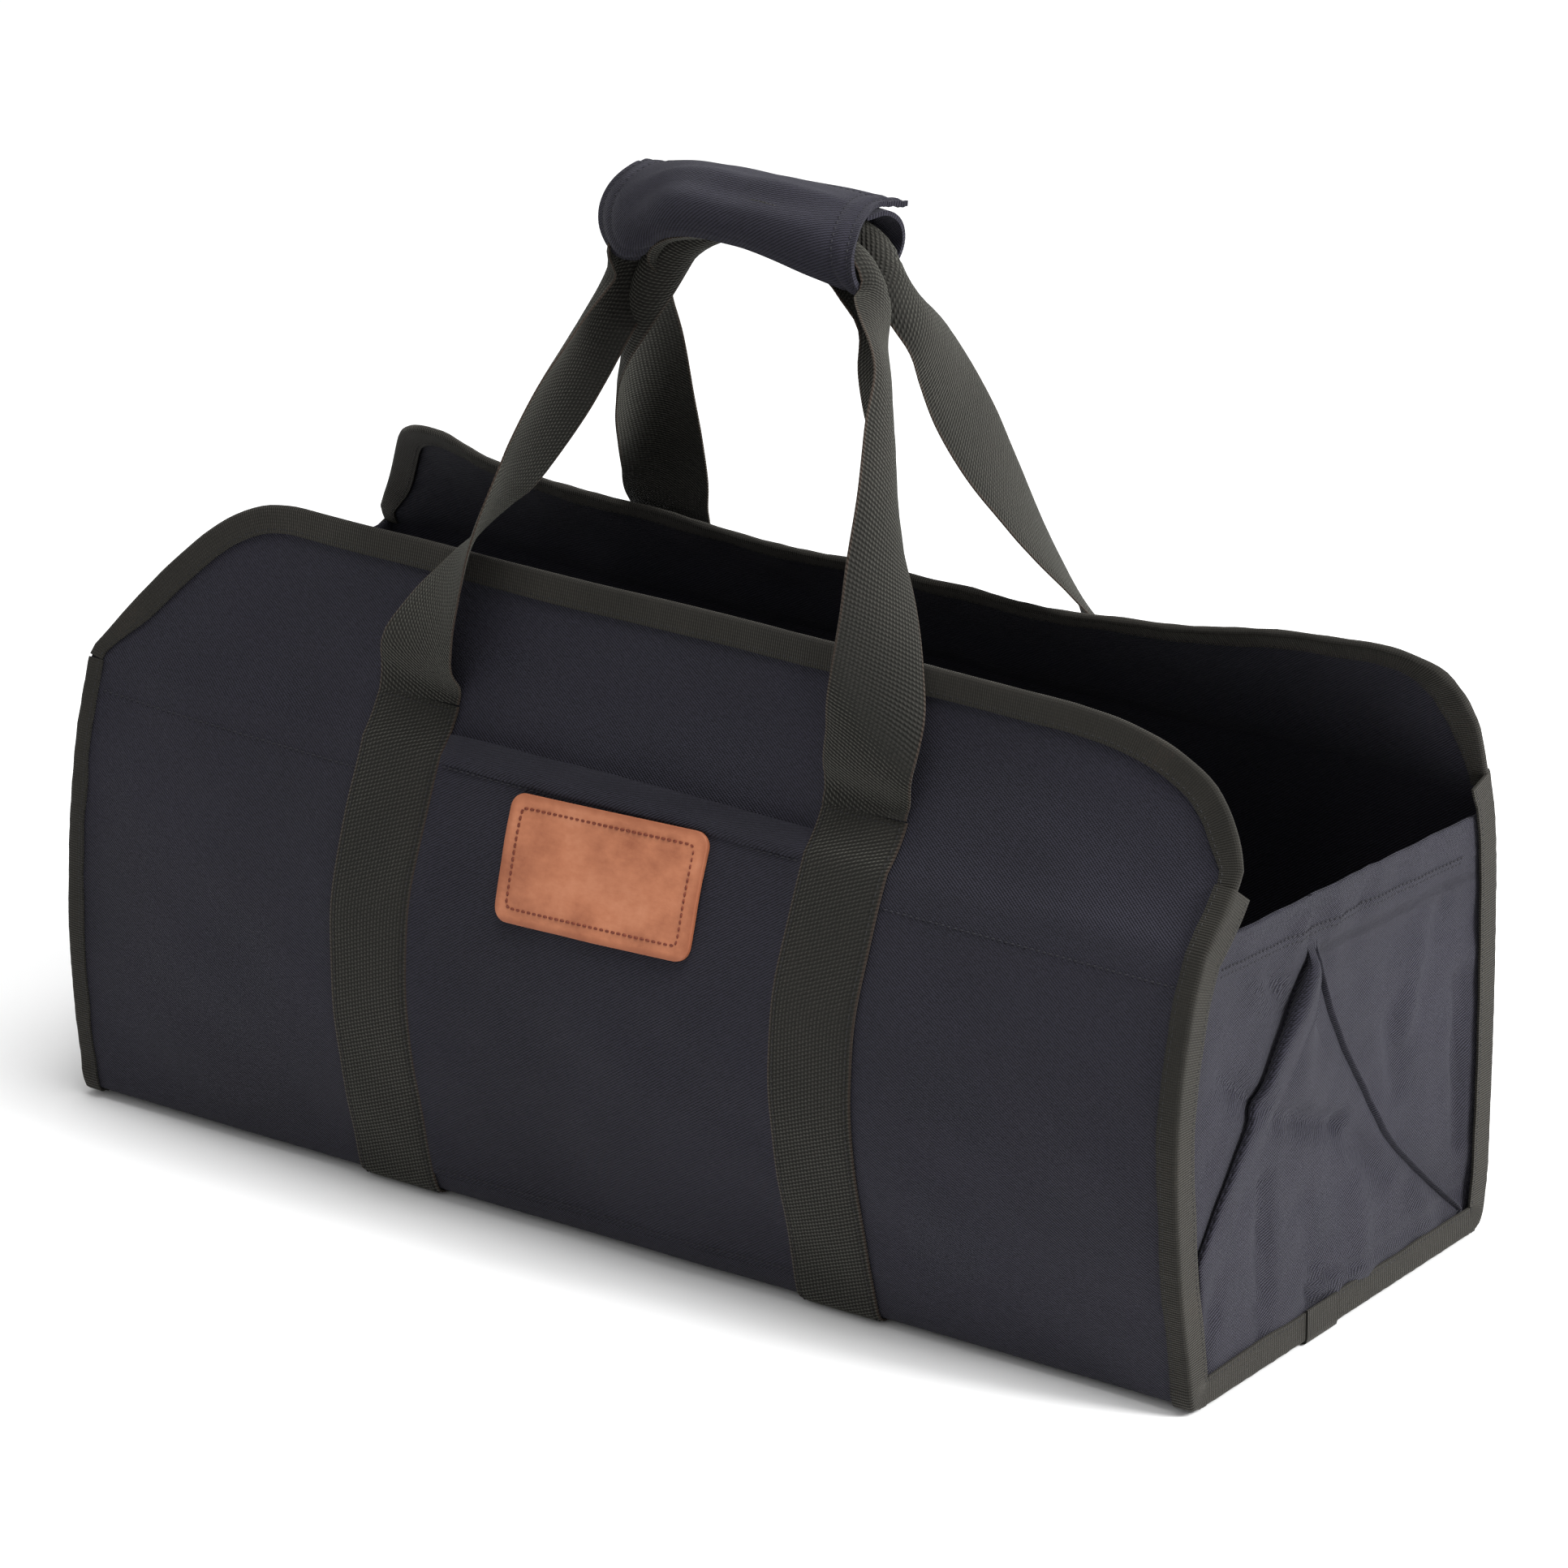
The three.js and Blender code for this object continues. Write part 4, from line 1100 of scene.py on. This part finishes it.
# ---------------------------------------------------------------- wrap round the handles
# at stations along the handle: the section from the front lower edge over the top, y and z
WRAP_OUTER = {
    -80: [(-12, 424), (-20, 432), (-22.5, 443), (-18, 455), (-9, 462), (0, 465), (5, 463.5)],
    -60: [(-22, 428), (-31, 434), (-34.5, 446), (-31, 458), (-18, 466), (-3, 468), (6, 464.5)],
    -40: [(-30.5, 444.5), (-36, 451), (-35.5, 461), (-27, 469), (-12, 472), (2, 470), (9, 466)],
    0: [(-30.5, 449), (-35.5, 457), (-34, 466), (-24, 472.5), (-8, 474.5), (4, 471), (11, 466)],
    40: [(-31, 443.5), (-35, 452), (-33.5, 462), (-24, 469.5), (-8, 472.5), (5, 470.5), (13, 467.5)],
    62: [(-27, 438), (-32, 445), (-31.5, 454), (-24, 463), (-10, 468), (4, 468), (15.5, 467)],
}
WRAP_INNER = {
    -70: [(-14, 461), (-2, 462.5), (7, 458), (11, 449), (9, 441), (4, 438)],
    0: [(-12, 471.5), (2, 468.5), (11, 462), (14.5, 453), (12, 444), (7, 440)],
    57: [(-6, 464.5), (6, 464), (14, 457.5), (16.5, 448), (13.5, 440), (7, 436)],
}


def wrap_layer(table, left, right, rows, columns):
    """A layer of the wrap: smooth both ways. left and right give x of its ends by the share round it."""
    stations = sorted(table)
    shares = np.linspace(0, 1, rows)
    rounds = np.array([through_points(table[x], shares) for x in stations])
    along = smooth_table(np.column_stack([stations, rounds.reshape(len(stations), -1)]))
    u = np.linspace(0, 1, columns)
    x = left(shares)[None, :] * (1 - u)[:, None] + right(shares)[None, :] * u[:, None]
    grid = np.zeros((columns, rows, 3))
    grid[:, :, 0] = x
    for j in range(rows):
        yz = along(np.clip(x[:, j], stations[0], stations[-1])).reshape(columns, rows, 2)[:, j]
        grid[:, j, 1:] = yz
    normal = unit(np.cross(np.gradient(grid, axis=0), np.gradient(grid, axis=1)))
    grid = grid + normal * (0.35 * rolling(grid[:, :, 0], grid[:, :, 1] * 2, 38, 61))[..., None]
    return grid, normal


def through_points(points, shares):
    points = np.array(points, float)
    length = way_along(points)
    return smooth_table(np.column_stack([length / length[-1], points]))(shares)


def handle_wrap():
    left = smooth_table([[0, -57], [0.12, -66], [0.28, -75], [0.42, -77.5], [0.6, -76], [0.8, -72], [1, -67.5]])
    right = smooth_table([[0, 68], [0.2, 64.5], [0.4, 61.5], [0.6, 58], [0.8, 55.5], [1, 60.5]])
    outer, normal = wrap_layer(WRAP_OUTER, lambda s: left(s)[..., 0], lambda s: right(s)[..., 0], 64, 104)
    columns, rows = outer.shape[:2]
    # hem all round: cloth doubled at the edges
    u = np.linspace(0, 1, columns)[:, None] * 135
    v = np.linspace(0, 1, rows)[None, :] * 86
    to_edge = np.minimum(np.minimum(u, 135 - u), np.minimum(v + 4, 86 - v))
    hem = 0.55 * (1 - step(10.5, 11.5, to_edge))
    sign = -1 if normal[columns // 2, rows // 2, 2] < 0 else 1
    # a soft ridge along the top, and shallow grooves where the stitches pull the cloth in
    ridge_at = 46 + 7 * (u / 135) + 2.5 * np.sin(u / 17)
    ridge = 1.5 * np.exp(-((v - ridge_at) / 5.5) ** 2) - 1.1 * np.exp(-((v - ridge_at + 13) / 7.0) ** 2)
    ridge = ridge * step(8, 45, u) * step(0, 30, 135 - u)
    groove = sum(np.exp(-((d - at) / 1.3) ** 2) for d in (u, 135 - u, 86 - v) for at in (3.0, 10.5))
    outer = outer + sign * normal * (ridge - 0.7 * groove)[..., None]
    face = outer + sign * normal * (0.7 + hem)[..., None]
    back = outer - sign * normal * (0.7 + hem)[..., None]
    piece = cloth_piece("canvas_wrap", face, back, pairs(u, v), canvas, ["handle_wrap"], smooth=50)
    seams = []
    for inset in (3.0, 10.5):
        for column in (inset / 135 * (columns - 1), (1 - inset / 135) * (columns - 1)):
            seams.append([lerp_grid(grid, column, np.arange(rows)) for grid in (face, sign * normal)])
    for inset in (3.0, 11.0):
        row = (1 - inset / 86) * (rows - 1)
        seams.append([lerp_grid(grid, np.arange(columns), row) for grid in (face, sign * normal)])
    inner, normal = wrap_layer(WRAP_INNER, lambda s: -66 - 4 * s,
                               lambda s: 54 + 4 * np.sin(math.pi * s), 26, 50)
    columns, rows = inner.shape[:2]
    uv = pairs(np.linspace(0, 125, columns)[:, None], np.linspace(0, 45, rows)[None, :])
    roll = cloth_piece("canvas_wrap_roll", inner + normal * 1.1, inner - normal * 1.1, uv,
                       canvas, smooth=50)
    return piece, roll, seams


def lerp_grid(grid, i, j):
    i, j = np.broadcast_arrays(np.asarray(i, float), np.asarray(j, float))
    i0 = np.clip(np.floor(i).astype(int), 0, grid.shape[0] - 2)
    j0 = np.clip(np.floor(j).astype(int), 0, grid.shape[1] - 2)
    a, b = (i - i0)[:, None], (j - j0)[:, None]
    return ((1 - a) * (1 - b) * grid[i0, j0] + a * (1 - b) * grid[i0 + 1, j0]
            + (1 - a) * b * grid[i0, j0 + 1] + a * b * grid[i0 + 1, j0 + 1])


wrap, wrap_roll, wrap_seams = handle_wrap()


# ---------------------------------------------------------------- stitching on the canvas and straps
canvas_stitches = Stitches()
for path, normals in wrap_seams:
    canvas_stitches.line(path, normals, radius=0.46)


def wall_line(side, x0, x1, height, lift):
    xs = np.linspace(x0, x1, int(abs(x1 - x0) / 4) + 2)
    hs = np.full_like(xs, height)
    return wall(side, xs, hs, lift), wall_normal(side, xs, hs)


strap_edge = STRAP_SPACING / 2 + WEB_WIDTH / 2
for side in (FRONT, BACK):
    for x0, x1 in ((-HALF_LENGTH + 9, -strap_edge), (strap_edge, HALF_LENGTH - 9)):
        canvas_stitches.line(*wall_line(side, x0, x1, 0.935, 0.1), length=2.5, radius=0.4)
canvas_stitches.line(*wall_line(BACK, WEB_WIDTH - strap_edge, strap_edge - WEB_WIDTH, 0.935, 0.1),
                     length=2.5, radius=0.4)


def pocket_line(height, lift):
    xs = np.linspace(-POCKET_HALF + 1, POCKET_HALF - 1, 60)
    hs = np.full_like(xs, height)
    low = wall(FRONT, xs, hs, pocket_lift(xs, hs) + lift)
    return low, wall_normal(FRONT, xs, hs)


for height, lift in ((0.981, 1.35), (POCKET_FOOT + 0.012, 1.35)):
    canvas_stitches.line(*pocket_line(height, lift), length=2.5, radius=0.42)

for end, outer, gusset_heights in gussets:
    for drop in (19.5, 22.5):
        row = np.interp(1 - drop / GUSSET_HEIGHT, gusset_heights, np.arange(len(gusset_heights)))
        line = lerp_grid(outer, np.arange(3, outer.shape[0] - 3), row)
        line[:, 0] += end * (0.38 if drop < HEM else 0.05)
        canvas_stitches.line(line, np.tile([end, 0.0, 0.0], (len(line), 1)), pitch=3.0, length=2.1, radius=0.42)
canvas_stitches.piece("canvas_stitching", navy_thread, "canvas")

strap_stitches = Stitches()
for middle in (-STRAP_SPACING / 2, STRAP_SPACING / 2):
    for side in (FRONT, BACK):
        heights = np.linspace(STRAP_TOP - 0.02, 0.02, 90)
        for across in (-WEB_WIDTH / 2 + 2.6, WEB_WIDTH / 2 - 2.6):
            xs = np.full_like(heights, middle + across)
            strap_stitches.line(wall(side, xs, heights, WEB_GAP + WEB), wall_normal(side, xs, heights),
                                pitch=3.4, length=2.5)
        for height in (STRAP_TOP + 0.01, STRAP_TOP - 0.03):
            ends = (middle - WEB_WIDTH / 2 + 3, middle + WEB_WIDTH / 2 - 3)
            strap_stitches.line(*wall_line(side, *ends, height, WEB_GAP + WEB),
                                pitch=3.0, length=2.3, radius=0.3)
strap_stitches.piece("strap_stitching", dark_thread, "webbing")


# ---------------------------------------------------------------- floor, light, camera
def studio():
    bpy.ops.mesh.primitive_plane_add(size=12, location=(0, 0, -0.0005))
    floor = bpy.context.active_object
    floor.name = "floor"
    n = Nodes("pale floor")
    shade = n.noise(n.place, 2.0, 2.0)
    n.put(n.ramp(shade, [(0.0, (0.86, 0.86, 0.86)), (1.0, (0.9, 0.9, 0.9))]), n.shader.inputs["Base Color"])
    n.shader.inputs["Roughness"].default_value = 0.9
    floor.data.materials.append(n.material)
    world = bpy.data.worlds.new("studio")
    bpy.context.scene.world = world
    world.use_nodes = True
    sky = world.node_tree.nodes["Background"].inputs
    sky["Color"].default_value = (1, 1, 1, 1)
    sky["Strength"].default_value = 0.5
    for name, place, size, power in (("key", (2.7, 0.6, 1.9), 1.2, 165),
                                     ("front", (0.6, -3.2, 2.2), 2.2, 12),
                                     ("top", (0.3, -0.2, 3.0), 1.6, 75)):
        light = bpy.data.lights.new(name, "AREA")
        light.size = size
        light.energy = power
        obj = bpy.data.objects.new(name, light)
        bpy.context.scene.collection.objects.link(obj)
        obj.location = place
        aim = np.array([0, 0, 0.15]) - np.array(place)
        obj.rotation_euler = direction(aim)
    bpy.context.scene.view_settings.view_transform = "Standard"
    data = bpy.data.cameras.new("camera")
    data.sensor_width = 36
    data.lens = 36 * 12063.25 / 1932
    data.clip_end = 50
    camera = bpy.data.objects.new("camera", data)
    bpy.context.scene.collection.objects.link(camera)
    az, el, far = math.radians(34.95), math.radians(21.75), 4.40916
    back = np.array([math.sin(az) * math.cos(el), -math.cos(az) * math.cos(el), math.sin(el)])
    camera.location = np.array([0.00497, 0, 0.18556]) + back * far
    camera.rotation_euler = direction(-back)
    bpy.context.scene.camera = camera


def direction(v):
    """The turn that makes a camera or light look along v."""
    return Vector(v).to_track_quat("-Z", "Y").to_euler()


studio()
